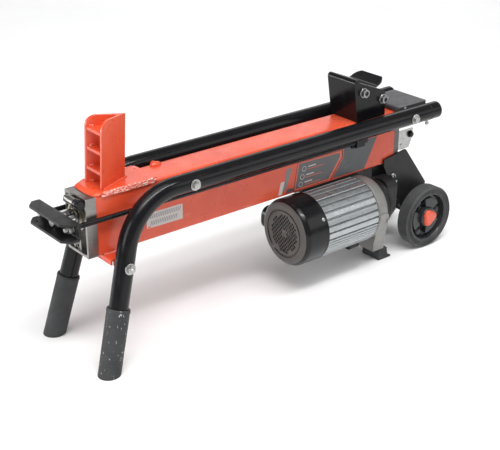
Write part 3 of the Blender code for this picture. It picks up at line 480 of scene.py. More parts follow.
def brushed(name, colour, shade, roughness, stretch, tint=None):
    """Machined or plated metal: fine lines along one axis, with soft stains."""
    n = Nodes(name)
    lines = n.noise(260, 4, stretch)
    tone = n.mix(n.spread(lines, 0.3, 0.7), colour, shade)
    stains = n.spread(n.noise(55, 5), 0.52, 0.75, 0.0, 0.55)
    tone = n.mix(stains, tone, tint or tuple(c * 0.6 for c in shade))
    rough = n.spread(n.noise(240, 4, stretch), 0.3, 0.7, roughness - 0.07, roughness + 0.12)
    normal = n.bump(lines, 0.16, 0.25)
    return n.finish(tone, rough, normal, metallic=1.0)


def rubber(name, colour, scuff, amount, roughness=0.62, scraped=None):
    """Moulded rubber: pebble grain, a dusty bloom, and chalky scuffs, heaviest at the scraped place."""
    n = Nodes(name)
    bloom = n.spread(n.noise(30, 5), 0.35, 0.7)
    tone = n.mix(bloom, colour, tuple(c * 1.5 for c in colour))
    scuffs = n.spread(n.noise(120, 7, rough=0.7), 0.66, 0.74, 0.0, amount)
    tone = n.mix(scuffs, tone, scuff)
    if scraped:
        reach = n.add("ShaderNodeVectorMath", {0: n.place, 1: Vector(scraped) * MM}, operation="DISTANCE")
        near = n.spread(reach.outputs["Value"], 0.006, 0.022, 0.14, 0.0)
        marks = n.add("ShaderNodeMath", {0: n.noise(210, 6, (1, 1, 0.5), 0.7), 1: near}, operation="ADD")
        tone = n.mix(n.spread(marks.outputs[0], 0.62, 0.68, 0.0, 0.95), tone, (0.75, 0.76, 0.74))
    rough = n.spread(n.noise(70, 4), 0.3, 0.7, roughness - 0.05, roughness + 0.15)
    grain = n.add("ShaderNodeTexVoronoi", {"Vector": n.place, "Scale": 1300.0}).outputs["Distance"]
    normal = n.bump(n.noise(480, 4), 0.25, 0.4, n.bump(grain, 0.2, 0.25))
    return n.finish(tone, rough, normal, specular=0.35)


def weld_paint(name, colour, shade, pale):
    """Paint over weld spatter: glossy, with short pale squiggles painted in as highlights where the ripples
    would catch light.
    """
    n = Nodes(name)
    tone = n.mix(n.spread(n.noise(60, 4), 0.35, 0.65), colour, shade)
    # Painted highlight: the pale colour is mixed in where the ripples would catch light
    painted_glints = n.spread(n.noise(330, 3, (0.7, 1.2, 1.2)), 0.47, 0.60, 0.0, 0.85)
    tone = n.mix(painted_glints, tone, pale)
    rough = n.spread(n.noise(120, 3), 0.3, 0.7, 0.22, 0.38)
    return n.finish(tone, rough, n.bump(n.noise(420, 3), 0.5, 0.6), coat=0.2)


def printed(name, colour, shade, dust):
    """Printed film: smoother than paint, with the same cloudy tone and dust."""
    return enamel(name, colour, shade, dust, 0.34, 0.1, 0.04)


RED = enamel("red_paint", (0.72, 0.088, 0.032), (0.63, 0.064, 0.023), (0.85, 0.36, 0.26), 0.30, 0.12)
# Weld paint whose pale squiggles are painted highlights
WELD_RED_GLINTS = weld_paint("weld_red_painted_glints", (0.76, 0.13, 0.075), (0.64, 0.07, 0.035), (0.95, 0.66, 0.58))
GLOSS_BLACK = powder("black_paint", (0.005, 0.005, 0.006), (0.008, 0.008, 0.009), 0.17, grain=0.05,
                     specular=0.24)
SATIN_BLACK = powder("satin_black", (0.012, 0.012, 0.012), (0.018, 0.017, 0.017), 0.38, grain=0.3,
                     specular=0.3)
PLASTIC = powder("black_plastic", (0.006, 0.006, 0.007), (0.010, 0.010, 0.011), 0.18, grain=0.06,
                 specular=0.28)
# Lighter grey for the cowl's front: partly its own colour, partly a painted reflection of the bright studio
COWL_FACE_REFLECTION = powder("cowl_face_painted_reflection", (0.070, 0.064, 0.060), (0.090, 0.083, 0.078), 0.46, grain=0.4)
HUB_PLASTIC = powder("hub_plastic", (0.020, 0.021, 0.023), (0.032, 0.033, 0.035), 0.20, grain=0.10,
                     specular=0.5)
COVER_GREY = powder("cover_grey", (0.050, 0.050, 0.054), (0.066, 0.066, 0.070), 0.40, grain=0.3)
ALUMINIUM = cast_metal("cast_aluminium", (0.44, 0.46, 0.47), (0.40, 0.42, 0.43), 0.30, 0.02)
CAST_GREY = cast_metal("cast_grey", (0.30, 0.297, 0.284), (0.25, 0.247, 0.236), 0.46, 0.16, 0.6)
CAST_DARK = cast_metal("cast_dark", (0.16, 0.155, 0.15), (0.12, 0.115, 0.11), 0.48, 0.18, 0.6)
MACHINED = brushed("machined_aluminium", (0.36, 0.345, 0.33), (0.27, 0.26, 0.25), 0.36, (0.12, 1.0, 5.0))
STEEL = brushed("machined_steel", (0.36, 0.36, 0.36), (0.26, 0.26, 0.27), 0.30, (0.2, 4, 4))
ZINC = brushed("zinc", (0.50, 0.50, 0.49), (0.36, 0.36, 0.36), 0.28, (1, 3, 3), tint=(0.27, 0.26, 0.22))
CHROME = brushed("chrome_rod", (0.72, 0.72, 0.73), (0.64, 0.64, 0.66), 0.12, (0.1, 6, 6))
BRASS = brushed("brass", (0.58, 0.52, 0.41), (0.46, 0.41, 0.31), 0.32, (0.3, 3, 3))
GRIP = rubber("dark_rubber", (0.033, 0.034, 0.035), (0.22, 0.22, 0.215), 0.25)
WORN_GRIP = rubber("scraped_rubber", (0.033, 0.034, 0.035), (0.30, 0.30, 0.29), 0.30,
                   scraped=(-384, -99, 34))
TYRE = rubber("tyre_rubber", (0.056, 0.057, 0.058), (0.12, 0.118, 0.115), 0.20, 0.50)
CAP_ORANGE = enamel("cap_orange", (0.74, 0.115, 0.060), (0.64, 0.090, 0.045), (0.9, 0.45, 0.35), 0.38, 0.1,
                    0.2)
GREEN = enamel("button_green", (0.02, 0.30, 0.05), (0.015, 0.24, 0.04), (0.3, 0.6, 0.35), 0.35, 0.1, 0.2)
COPPER = brushed("copper_winding", (0.55, 0.22, 0.10), (0.40, 0.14, 0.06), 0.35, (4, 0.3, 4))
LABEL_LIGHT = printed("label_light", (0.62, 0.57, 0.54), (0.54, 0.50, 0.48), (0.75, 0.74, 0.72))
LABEL_MID = printed("label_mid", (0.20, 0.20, 0.21), (0.17, 0.17, 0.18), (0.40, 0.40, 0.40))
LABEL_GREY = printed("label_grey", (0.100, 0.102, 0.108), (0.082, 0.084, 0.090), (0.20, 0.20, 0.21))
LABEL_DARK = printed("label_dark", (0.078, 0.082, 0.090), (0.062, 0.066, 0.074), (0.16, 0.16, 0.16))
LABEL_BLACK = printed("label_black", (0.012, 0.012, 0.013), (0.02, 0.02, 0.02), (0.10, 0.10, 0.10))
LABEL_RED = printed("label_red", (0.76, 0.115, 0.055), (0.68, 0.09, 0.04), (0.85, 0.36, 0.26))


def piece(name, mesh, material, body="frame", stands_for=(), bevel=0.0, segments=3, angle=35):
    """One visible piece, riding on its body and standing for the CAD nodes that it replaces."""
    mesh.name = name
    mesh.materials.clear()
    mesh.materials.append(material)
    mesh.shade_smooth()
    mesh.set_sharp_from_angle(angle=math.radians(angle))
    obj = bpy.data.objects.new(name, mesh)
    bpy.context.scene.collection.objects.link(obj)
    if bevel:
        rounding = obj.modifiers.new("rounding", "BEVEL")
        rounding.width = bevel * MM
        rounding.segments = segments
        rounding.limit_method = "ANGLE"
        rounding.angle_limit = math.radians(angle)
        rounding.harden_normals = True
    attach(obj, body)
    if stands_for:
        nodes = [stands_for] if isinstance(stands_for, str) else stands_for
        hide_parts(*nodes)
    return obj


def repaint(node, material):
    """A better material on a CAD node whose shape is kept."""
    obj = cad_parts[node]
    obj.data.materials.clear()
    obj.data.materials.append(material)


# ---------------------------------------------------------------- fasteners and welds


def hexagon(start, direction, height, across, chamfer=0.8):
    """A hexagonal head with the round chamfer that turning leaves, from start along direction."""
    unit = Vector(direction).normalized()
    corner = across / math.sqrt(3)
    prism = cylinder(start, Vector(start) + unit * height, corner, 6)
    crown = [(0, height), (across / 2 - 0.4, height), (corner + 0.3, height - chamfer), (corner + 0.3, -1),
             (0, -1)]
    return combined(prism, [turned(start, direction, crown, 48)], "INTERSECT")


def threaded(start, end, radius, pitch=1.25):
    """A stud whose thread is a row of fine rings, with a chamfered tip."""
    axis = Vector(end) - Vector(start)
    length = axis.length
    profile = [(0, length), (radius - 1, length), (radius - 0.2, length - 0.9)]
    turns = int((length - 1.5) / pitch)
    for i in range(turns):
        top = length - 1.1 - i * pitch
        profile += [(radius, top - pitch * 0.35), (radius - 0.55, top - pitch * 0.85)]
    profile += [(radius - 0.3, 0), (0, 0)]
    return turned(start, axis, profile, 32)


def bolt_set(seat, direction, across, washer, height, tip=0.0, thread=4.0):
    """Washer, hexagonal head or nut, and the thread's tip if it shows. direction points off the surface."""
    start = Vector(seat)
    unit = Vector(direction).normalized()
    top = start + unit * 1.7
    solids = [ring(start, top, thread, washer), hexagon(top, unit, height, across)]
    if tip:
        solids.append(threaded(top + unit * (height - 1), top + unit * (height + tip), thread))
    return merged(solids)


def weld_bead(path, radius, seed=0):
    """A run of overlapping droplets along a path, as a stick weld leaves them."""
    points = resampled(path, 0.7)
    radii = []
    for i, point in enumerate(points):
        ripple = abs(math.sin(i * 0.62))
        wander = noise.noise(Vector((i * 0.11, seed, 3.3)))
        taper = min(1.0, (i + 1) / 4, (len(points) - i) / 4)
        radii.append(radius * taper * (0.80 + 0.22 * ripple + 0.25 * wander))
        shift = noise.noise_vector(Vector((i * 0.17, seed + 9.1, 0))) * radius * 0.22
        points[i] = point + shift
    return swept(points, radii, 12)


# ---------------------------------------------------------------- beam, blocks and wedge


def make_beam():
    outer = rounded(rectangle((-BEAM_HALF, BEAM_LOW), (BEAM_HALF, BEAM_TOP)), 3.6, 8)
    inner = rounded(rectangle((-BEAM_HALF + 4, BEAM_LOW + 4), (BEAM_HALF - 4, BEAM_TOP - 4)), 1.5, 4)
    tube = plate("YZ", [outer, inner], BEAM.x, BEAM_END.x)
    step = block((STEP_X, -50, BEAM_LOW - 5), (BEAM_END.x + 5, 50, STEP_Z))
    piece("beam_shell", cut(tube, step), RED, stands_for="beam", bevel=0.5)
    bosses = []
    welds = []
    for side in SIDES.values():
        outer_y = side * (RAIL_Y - TUBE_RADIUS - 0.3)
        bosses.append(ring((FRONT_BOLT_X, side * (BEAM_HALF - 0.5), RAIL_Z),
                           (FRONT_BOLT_X, outer_y, RAIL_Z), 4.3, 5.9))
        collar = [(FRONT_BOLT_X + 6.2 * math.cos(a / 8 * math.pi), side * (BEAM_HALF + 0.4),
                   RAIL_Z - 2.0 + 6.2 * math.sin(a / 8 * math.pi) * 0.8) for a in range(17)]
        welds.append(weld_bead(collar, 1.5, side))
    for low in (LEVER.x - 13, LEVER.x + 8):
        ear = rounded([(BEAM_HALF - 1, 205), (46, 205), (56, 211), (56, 219), (46, 225),
                       (BEAM_HALF - 1, 225)],
                      [0, 4, 4, 4, 4, 0])
        bosses.append(plate("YZ", [ear, circle((LEVER.y, LEVER.z), 4.1, 32)], low, low + 5))
        welds.append(weld_bead([(low + 2.5, BEAM_HALF + 0.6, 204.5), (low + 2.5, BEAM_HALF + 0.6, 225.5)],
                               1.6, low))
    piece("rail_bosses_and_lever_ears", merged(bosses), RED, bevel=0.5)
    piece("beam_welds", merged(welds), WELD_RED_GLINTS)


def sticker(name, outlines, material, height=0.25):
    """A thin printed film on the beam's near side, with (x, z) outlines."""
    piece(name, plate("XZ", outlines, -BEAM_HALF - height, -BEAM_HALF + 0.1), material)


def make_stickers():
    label = rounded([(-284, 218), (-206.5, 217), (-206.5, 246), (-284, 247)], 1.5)
    sticker("label_plate", [label], LABEL_LIGHT, 0.20)
    ticks = []
    for low, count in ((235.0, 17), (222.5, 15)):
        for i in range(count):
            x = -277 + i * 3.9
            ticks.append([(x, low), (x + 1.6, low), (x + 4.4, low + 8.0), (x + 2.8, low + 8.0)])
    sticker("label_ticks", ticks, LABEL_MID, 0.30)
    sticker("label_mark", [rounded([(-282.5, 218.6), (-277, 218.6), (-275.5, 221.6), (-281, 221.6)], 0.6)],
            LABEL_RED, 0.30)
    sticker("beam_line", [rectangle((-202, 207.4), (8, 208.5))], LABEL_RED, 0.20)
    sticker("stripe_light", [[(18, 200), (27, 200), (34, 226), (24.6, 226)]], LABEL_LIGHT, 0.20)
    sticker("stripe_grey", [[(34.5, 226), (30, 206), (36, 206), (53.5, 250), (39, 250)]], LABEL_MID, 0.20)
    sticker("stripe_dark", [[(38, 200), (57, 200), (60, 206), (46.3, 208), (40, 207)]], LABEL_DARK, 0.20)
    outline = [(66, 256), (186, 255), (187, 241), (156.5, 199.2), (57, 199.2), (61, 226)]
    border = [(67, 255), (183, 254), (184, 241), (154, 200), (58.5, 200), (62.5, 226)]
    panel = [(70, 253), (177, 251), (178, 242), (149, 202.6), (61.5, 202.6), (65.5, 226)]
    sticker("panel_outline", [outline], LABEL_BLACK, 0.15)
    sticker("panel_border", [rounded(border, 1.5)], LABEL_RED, 0.24)
    sticker("panel_grey", [rounded(panel, 1.5)], LABEL_GREY, 0.32)
    dark = [(160.5, 200), (247, 200), (281, 262), (189, 262), (189, 240)]
    sticker("panel_dark", [rounded(dark, [1, 2, 1, 1, 1])], LABEL_DARK, 0.25)
    rows = ((83.6, 240.0), (79.0, 224.0), (75.0, 209.5))
    badges = []
    bars = []
    rules = []
    for x, z in rows:
        badges += [circle((x, z), 5.4, 40), circle((x, z), 4.4, 40)]
        bars.append(rectangle((x + 10, z + 1.2), (x + 30, z + 3.4)))
        rules.append(rectangle((x + 10, z - 3.4), (x + 52, z - 2.2)))
    sticker("panel_rings", badges, LABEL_LIGHT, 0.42)
    sticker("panel_bars", bars, LABEL_LIGHT, 0.42)
    sticker("panel_rules", rules, LABEL_RED, 0.42)


def make_front_block():
    back = span("front_block")[1].x
    front = back - BLOCK_DEPTH
    outer = rounded(rectangle((-BEAM_HALF, BEAM_LOW), (BEAM_HALF, BEAM_TOP)), 1.2, 3)
    gland = circle((0, RAM_Z), GLAND_RADIUS, 64)
    rim = rounded(rectangle((-BEAM_HALF + 4.5, BEAM_LOW + 5), (BEAM_HALF - 4.5, BEAM_TOP - 5)), 5)
    wall = plate("YZ", [outer, gland], back - 8.5, back)
    solids = [plate("YZ", [outer, rim], front, back - 8)]
    solids.append(plate("YZ", [circle((0, RAM_Z), 26.8, 64), gland], front + 1.5, back - 8))
    for y in (-3, 16):
        solids.append(plate("YZ", [rectangle((y - 2.5, BEAM_LOW + 2), (y + 2.5, 242))], front + 3,
                            back - 8))
    solids.append(plate("YZ", [circle((6.5, 207), 6.4, 48), circle((6.5, 207), 3.2, 32)], front + 4,
                        back - 8))
    lug = rounded([(CAP.x - 6, CAP.z - 6), (front + 3, CAP.z - 8), (front + 3, BEAM_TOP - 1),
                   (CAP.x - 6, CAP.z + 6)],
                  [4, 0, 0, 4])
    solids.append(plate("XZ", [lug], 3, 12))
    solids.append(cylinder((CAP.x, -17.8, CAP.z), (CAP.x, 5, CAP.z), 7.2))
    hole = cylinder((CAP.x, -20, CAP.z), (CAP.x, 20, CAP.z), 4.3)
    piece("front_casting", cut(joined(wall, *solids), hole), MACHINED, stands_for="front_block", bevel=0.6)

    length = back - front + 2.9
    lip = [(14.15, 0), (15.2, 0), (16.2, 1.6), (21.0, 1.6), (22.7, 0.2), (22.7, length), (14.15, length)]
    start = (front - 3.2, 0, RAM_Z)
    piece("gland_ring", turned(start, (1, 0, 0), lip, 72, closed=True), BRASS, stands_for="rod_gland")
    wiper = [(14.05, -0.6), (15.6, -0.9), (16.4, 0.6), (15.9, 1.4), (14.05, 1.4)]
    piece("gland_wiper", turned(start, (1, 0, 0), wiper, 72, closed=True), PLASTIC)

    profile = [(0, 37), (6.4, 37), (7.2, 36.4), (7.2, 34.6), (8.4, 34.2), (9, 33.2), (9, 22.6), (8.2, 21.4),
               (6.4, 20.8),
               (4, 20.8), (4, -9), (0, -9)]
    cap = turned((CAP.x, 2.7, CAP.z), (0, -1, 0), profile, 64)
    grips = []
    for k in range(18):
        x = CAP.x + 9.75 * math.cos(k * math.pi / 9)
        z = CAP.z + 9.75 * math.sin(k * math.pi / 9)
        grips.append(cylinder((x, -28.4, z), (x, -21.5, z), 0.9, 12))
    piece("oil_cap_knob", cut(cap, *grips), PLASTIC, stands_for="oil_cap", bevel=0.3)


def make_rear_block():
    low = span("rear_block")[0]
    rear = plate("YZ", [rounded(rectangle((-BEAM_HALF, low.z), (BEAM_HALF, BEAM_TOP - 0.3)), 1.0, 3)],
                 low.x, low.x + 13)
    bosses = [ring((REAR_BOLT_X, side * (BEAM_HALF - 0.5), RAIL_Z), (REAR_BOLT_X, side * 48.2, RAIL_Z), 4.3,
                   5.9)
              for side in SIDES.values()]
    piece("rear_casting", merged([rear] + bosses), CAST_DARK, stands_for="rear_block", bevel=0.6)


def wedge_lean(mesh, base):
    """Leans an upright wedge mesh towards the pusher."""
    shear = Matrix.Identity(4)
    shear[0][2] = math.tan(WEDGE_LEAN)
    pivot = Vector((0, 0, base * MM))
    mesh.transform(Matrix.Translation(pivot) @ shear @ Matrix.Translation(-pivot))
    return mesh


def make_wedge():
    base = span("wedge_base")[1].z
    low = base + 0.2
    slope = math.atan2(WEDGE_HALF, WEDGE_EDGE_X - WEDGE_REAR_X)
    inset = Vector((-math.sin(slope), math.cos(slope))) * WEDGE_SHEET
    rear_in = Vector((WEDGE_REAR_X, -WEDGE_HALF)) + inset
    apex_in = WEDGE_EDGE_X - WEDGE_SHEET / math.sin(slope)
    past = Vector((-8,
                   -8 * math.tan(slope)))  # the walls run on past their rear edge, and are trimmed to it
    tail, tail_in = Vector((WEDGE_REAR_X, -WEDGE_HALF)) + past, rear_in + past
    vee = rounded([(WEDGE_EDGE_X, 0), (tail.x, -tail.y), (tail_in.x, -tail_in.y), (apex_in, 0),
                   tuple(tail_in), tuple(tail)],
                  [0.6, 0, 0, 4.0, 0, 0], 6)
    walls = wedge_lean(plate("XY", [vee], low - 10, low + WEDGE_HEIGHT + 10), base)
    side = rounded([(WEDGE_REAR_X - 1, low), (WEDGE_EDGE_X + 30, low),
                    (WEDGE_EDGE_X + 30, low + WEDGE_HEIGHT - 6),
                    (WEDGE_REAR_X + 6.5, low + WEDGE_HEIGHT - 1)], [0, 0, 0, WEDGE_ROUND], 16)
    blade = combined(walls, [plate("XZ", [side], -60, 60)], "INTERSECT")
    piece("wedge_vee", blade, RED, stands_for="wedge_blade", bevel=0.8)
    ribs = []
    drops = []
    reach = (-rear_in.y) / math.tan(slope)
    for level in RIB_LEVELS:
        ends = [(apex_in + 1, 0), (apex_in - reach + 1.5, -rear_in.y - 0.4),
                (apex_in - reach + 1.5, rear_in.y + 0.4)]
        ribs.append(wedge_lean(plate("XY", [rounded(ends, [0, 1, 1])], level - 2.6, level + 2.6), base))
        for sign in (-1, 1):
            path = [(WEDGE_REAR_X + 3 + t * 9, sign * (WEDGE_HALF - 4.8 - t * 3.8), level + 3.2)
                    for t in (0, 1)]
            drops.append(wedge_lean(weld_bead(path, 3.0, level + sign), base))
    piece("wedge_ribs", merged(ribs), RED, bevel=0.7)
    foot_weld = [(WEDGE_REAR_X + 3, -WEDGE_HALF - 0.5, low), (WEDGE_EDGE_X + 1, -0.4, low),
                 (WEDGE_REAR_X + 3, WEDGE_HALF + 0.5, low)]
    drops.append(weld_bead([(WEDGE_REAR_X + 4, WEDGE_HALF - 7, low + 1.5),
                            (WEDGE_REAR_X + 12, WEDGE_HALF - 10, low + 1.5)], 3.0, 8.8))
    piece("wedge_foot_weld", weld_bead(foot_weld, 2.6, 7.7), RED)
    piece("wedge_welds", merged(drops), WELD_RED_GLINTS)


def make_wedge_base():
    base_low, base_high = span("wedge_base")
    rows = []
    for z, slide in ((base_low.z, 0), (base_high.z - 4.6, 0), (base_high.z - 2.6, 2.0),
                     (base_high.z - 0.8, 5.6),
                     (base_high.z - 0.1, 8.2), (base_high.z, 9.2)):
        arc = []
        for step in range(-15, 16):
            turn = math.radians(step * 5)
            arc.append((-384 - 5.5 * math.cos(turn) + slide, -32 * math.sin(turn) * (1 - slide / 120), z))
        corners = [(-260, 34.6), (-378 + slide, 34.6)], [(-378 + slide, -34.6), (-260, -34.6)]
        rows.append([(x, y, z) for x, y in corners[0]] + arc + [(x, y, z) for x, y in corners[1]])
    piece("wedge_base_plate", lofted(rows), RED, stands_for="wedge_base", bevel=0.5)
    seams = []
    for side_sign in SIDES.values():
        for row, (start, end,
                  z) in enumerate(((-372, -262, 303.6), (-368, -258, 306.4), (-370, -264, 309.4))):
            path = [(start, side_sign * 34.8, z), (end, side_sign * 34.8, z)]
            seams.append(weld_bead(path, 2.5, side_sign + row * 3))
    seams.append(weld_bead([(-259.4, -31, 307.2), (-259.4, 31, 307.2)], 3.0, 20))
    seams.append(weld_bead([(-268, 20, 311.3), (-267, 30, 311.3)], 1.6, 30))
    piece("base_plate_welds", merged(seams), WELD_RED_GLINTS)
    lump = [(-233 + 24 * share, 26.3, BEAM_TOP - 0.5)
            for share in (0, 0.06, 0.16, 0.3, 0.5, 0.7, 0.86, 0.95, 1)]
    piece("log_stop_lump", swept(lump, [1.5, 3.6, 5.4, 6.6, 7.0, 6.6, 5.2, 3.4, 1.5], 40), RED)


# ---------------------------------------------------------------- rails, legs and feet


def leg_point(height):
    """Where a leg's centre line is at a height: x, and y away from the middle."""
    share = 1 - height / RAIL_Z
    return CORNER_X + (FOOT.x - CORNER_X) * share, RAIL_Y + (FOOT.y - RAIL_Y) * share


def tube_route(side, steps=28):
    corner = Vector((CORNER_X, side * RAIL_Y, RAIL_Z))
    down = (Vector((FOOT.x, side * FOOT.y, 0)) - corner).normalized()
    back = Vector((1, 0, 0))
    half = back.angle(down) / 2
    centre = corner + (back + down).normalized() * (BEND_RADIUS / math.sin(half))
    first = corner + back * (BEND_RADIUS / math.tan(half)) - centre
    last = corner + down * (BEND_RADIUS / math.tan(half)) - centre
    normal = first.cross(last).normalized()
    sweep = first.angle(last)
    bend = [centre + Matrix.Rotation(sweep * i / steps, 3, normal) @ first for i in range(steps + 1)]
    foot = corner + down * ((RAIL_Z - 15) / -down.z)
    return [Vector((RAIL_REAR, side * RAIL_Y, RAIL_Z))] + bend + [foot]


def make_tube(name, side):
    curve = bpy.data.curves.new(name, "CURVE")
    curve.dimensions = "3D"
    curve.bevel_depth = TUBE_RADIUS * MM
    curve.bevel_resolution = 14
    route = tube_route(side)
    spline = curve.splines.new("POLY")
    spline.points.add(len(route) - 1)
    for point, place in zip(spline.points, route):
        point.co = (*(place * MM), 1)
    skin = evaluated_mesh(bpy.data.objects.new(name, curve))
    shell = bpy.data.objects.new(name, skin)
    wall = shell.modifiers.new("wall", "SOLIDIFY")
    wall.thickness = 2.0 * MM
    wall.offset = -1
    piece(f"side_tube_{name}", evaluated_mesh(shell), GLOSS_BLACK, stands_for=f"tube_{name}")

    profile = [(0, 3.0), (8, 2.9), (13, 2.3), (15.9, 1.2), (17.0, 0.1), (17.1, -0.2), (14.6, -0.2),
               (14.6, -12),
               (0, -12)]
    plug = turned((RAIL_REAR + 0.3, side * RAIL_Y, RAIL_Z), (1, 0, 0), profile, 64)
    piece(f"tube_plug_{name}", plug, PLASTIC, stands_for=f"tube_cap_{name}", angle=50)


def make_sleeve(name, side):
    x, y = leg_point(SLEEVE_HEIGHT)
    top = Vector((x, side * y, SLEEVE_HEIGHT))
    foot = Vector((FOOT.x, side * FOOT.y, 0))
    length = (top - foot).length
    bore = TUBE_RADIUS + 0.2
    profile = [(0, 12), (bore, 12), (bore, length - 0.4), (18.4, length), (19.8, length - 0.2),
               (20.7, length - 1.2),
               (21.0, length - 2.6), (21.0, length - 6.0), (20.6, length - 7.0), (20.45, length - 8.4),
               (20.35, 60), (20.3, 8), (20.3, -14), (0, -14)]
    floor = block((FOOT.x - 80, -150, -60), (FOOT.x + 80, 150, 0))
    sleeve = cut(turned(foot, top - foot, profile, 72), floor)
    material = WORN_GRIP if name == "near" else GRIP
    piece(f"foot_grip_{name}", sleeve, material, stands_for=f"foot_sleeve_{name}", bevel=0.5, angle=50)


def make_tube_bolts():
    for name, side in SIDES.items():
        seat = RAIL_Y + TUBE_RADIUS + 0.1
        for place, x in (("front", FRONT_BOLT_X), ("rear", REAR_BOLT_X)):
            solid = bolt_set((x, side * seat, RAIL_Z), (0, side, 0), 13, 10.4, 5.2)
            shank = cylinder((x, side * seat, RAIL_Z), (x, side * 38.3, RAIL_Z), 4, 24)
            piece(f"rail_screw_{place}_{name}", merged([solid, shank]), ZINC,
                  stands_for=f"rail_bolt_{place}_{name}",
                  bevel=0.2)
    x, y = leg_point(LEG_BOLT_Z)
    seat = y + TUBE_RADIUS + 0.4
    solids = [cylinder((x, -seat, LEG_BOLT_Z), (x, seat, LEG_BOLT_Z), 4, 24)]
    for side in SIDES.values():
        solids.append(bolt_set((x, side * seat, LEG_BOLT_Z), (0, side, 0), 13, 10.4, 5.4, tip=3))
    piece("leg_stud", merged(solids), ZINC, stands_for="leg_bolt", bevel=0.2)


def make_leg_bracket():
    low, high = span("leg_bracket")
    ear, top, edge, sheet = high.y, high.z, 184.6, 3.0
    channel = [(low.x, edge), (low.x, top), (high.x, top), (high.x, edge), (high.x - sheet, edge),
               (high.x - sheet, top - sheet), (low.x + sheet, top - sheet), (low.x + sheet, edge)]
    body = plate("XZ", [rounded(channel, [0, 5, 5, 0, 0, 2, 2, 0], 6)], -ear, ear)
    tab = rounded([(LEG_BOLT_X - 9, low.z), (LEG_BOLT_X + 9, low.z), (LEG_BOLT_X + 9, top - 1),
                   (LEG_BOLT_X - 9, top - 1)], [6, 6, 0, 0])
    tabs = [sided_plate([tab], side, ear - sheet, ear) for side in SIDES.values()]
    hole = cylinder((LEG_BOLT_X, -80, LEG_BOLT_Z), (LEG_BOLT_X, 80, LEG_BOLT_Z), 4.4, 32)
    piece("cross_bracket", cut(joined(body, *tabs), hole), RED, stands_for="leg_bracket", bevel=0.6)
    beads = []
    for side in SIDES.values():
        y = side * (BEAM_HALF - 1)
        beads.append(weld_bead([(low.x + 3, y, top + 0.2), (high.x - 3, y, top + 0.2)], 2.2, side * 5))
    beads.append(weld_bead([(low.x, -34, top - 2), (low.x, -27, top - 1)], 2.4, 4))
    piece("cross_bracket_welds", merged(beads), WELD_RED_GLINTS)


def make_rail_joint():
    """The joint line round the near rail behind the rear bolt, with a small stud underneath."""
    band = ring((390, -RAIL_Y, RAIL_Z), (391.6, -RAIL_Y, RAIL_Z), TUBE_RADIUS, TUBE_RADIUS + 0.5, 64)
    piece("rail_joint_ring", band, SATIN_BLACK)
    profile = [(0, 9.0), (2.6, 8.8), (3.9, 7.2), (3.9, 4.6), (2.8, 3.8), (2.8, -1.5), (0, -1.5)]
    stud = turned((387.5, -RAIL_Y - 4, RAIL_Z - TUBE_RADIUS + 0.6), (0, 0, -1), profile, 32)
    piece("rail_stud", stud, ZINC, angle=50)


def make_rear_cover():
    low, high = span("rear_cover")
    profile = strip([(low.x, low.z), (low.x, high.z), (high.x, high.z)], 3.0, 4.5)
    sheet = plate("XZ", [profile], low.y, high.y)
    corners = rounded([(low.x - 5, low.y), (high.x, low.y), (high.x, high.y), (low.x - 5, high.y)],
                      [0, 5, 5, 0])
    sheet = combined(sheet, [plate("XY", [corners], low.z - 5, high.z + 5)], "INTERSECT")
    sides = []
    for side in SIDES.values():
        outline = rounded([(low.x + 1, 306.8), (high.x - 4, 306.8), (high.x - 4, high.z - 1),
                           (low.x + 1, high.z - 1)],
                          [2, 3, 0, 0])
        sides.append(sided_plate([outline], side, high.y - 3, high.y - 0.05))
    piece("rear_cover_sheet", joined(sheet, *sides), COVER_GREY, stands_for="rear_cover", bevel=0.7)
    screws = []
    for side in SIDES.values():
        head = [(0, 3.0), (1.8, 2.9), (3.3, 1.9), (3.8, 0.4), (3.8, -0.4), (0, -0.4)]
        start = (344.5, side * high.y, 310.6)
        dome = turned(start, (0, side, 0), head, 40)
        first, last = sorted((side * (high.y + 1.7), side * (high.y + 4)))
        slot = block((342.0, first, 310.1), (347.0, last, 311.1))
        cross = block((344.0, first, 308.1), (345.0, last, 313.1))
        screws.append(cut(dome, slot, cross))
    piece("rear_cover_screws", merged(screws), ZINC)


def make_guard_bracket():
    low, high = span("zinc_bracket")
    angle = strip([(high.x, low.y), (low.x, low.y), (low.x, high.y)], 3.0, 4.5)
    sheet = plate("XY", [angle], low.z, high.z)
    corner = plate("XZ",
                   [[(374, low.z - 6), (392, low.z - 6), (392, low.z + 22), (384, low.z + 19),
                     (380, low.z + 10)]],
                   -40, -25)
    piece("guard_bracket", cut(sheet, corner), ZINC, stands_for="zinc_bracket", bevel=0.5)
    bolt = bolt_set((378, low.y, 245), (0, -1, 0), 10, 7.5, 4.5, thread=3)
    piece("guard_bracket_bolt", bolt, SATIN_BLACK)
    small = turned((353, low.y, 226), (0, -1, 0),
                   [(0, 1.8), (2.0, 1.6), (3.2, 0.4), (3.2, -0.3), (0, -0.3)], 32)
    piece("guard_bracket_screw", small, ZINC)


# ---------------------------------------------------------------- ram, yoke and pusher


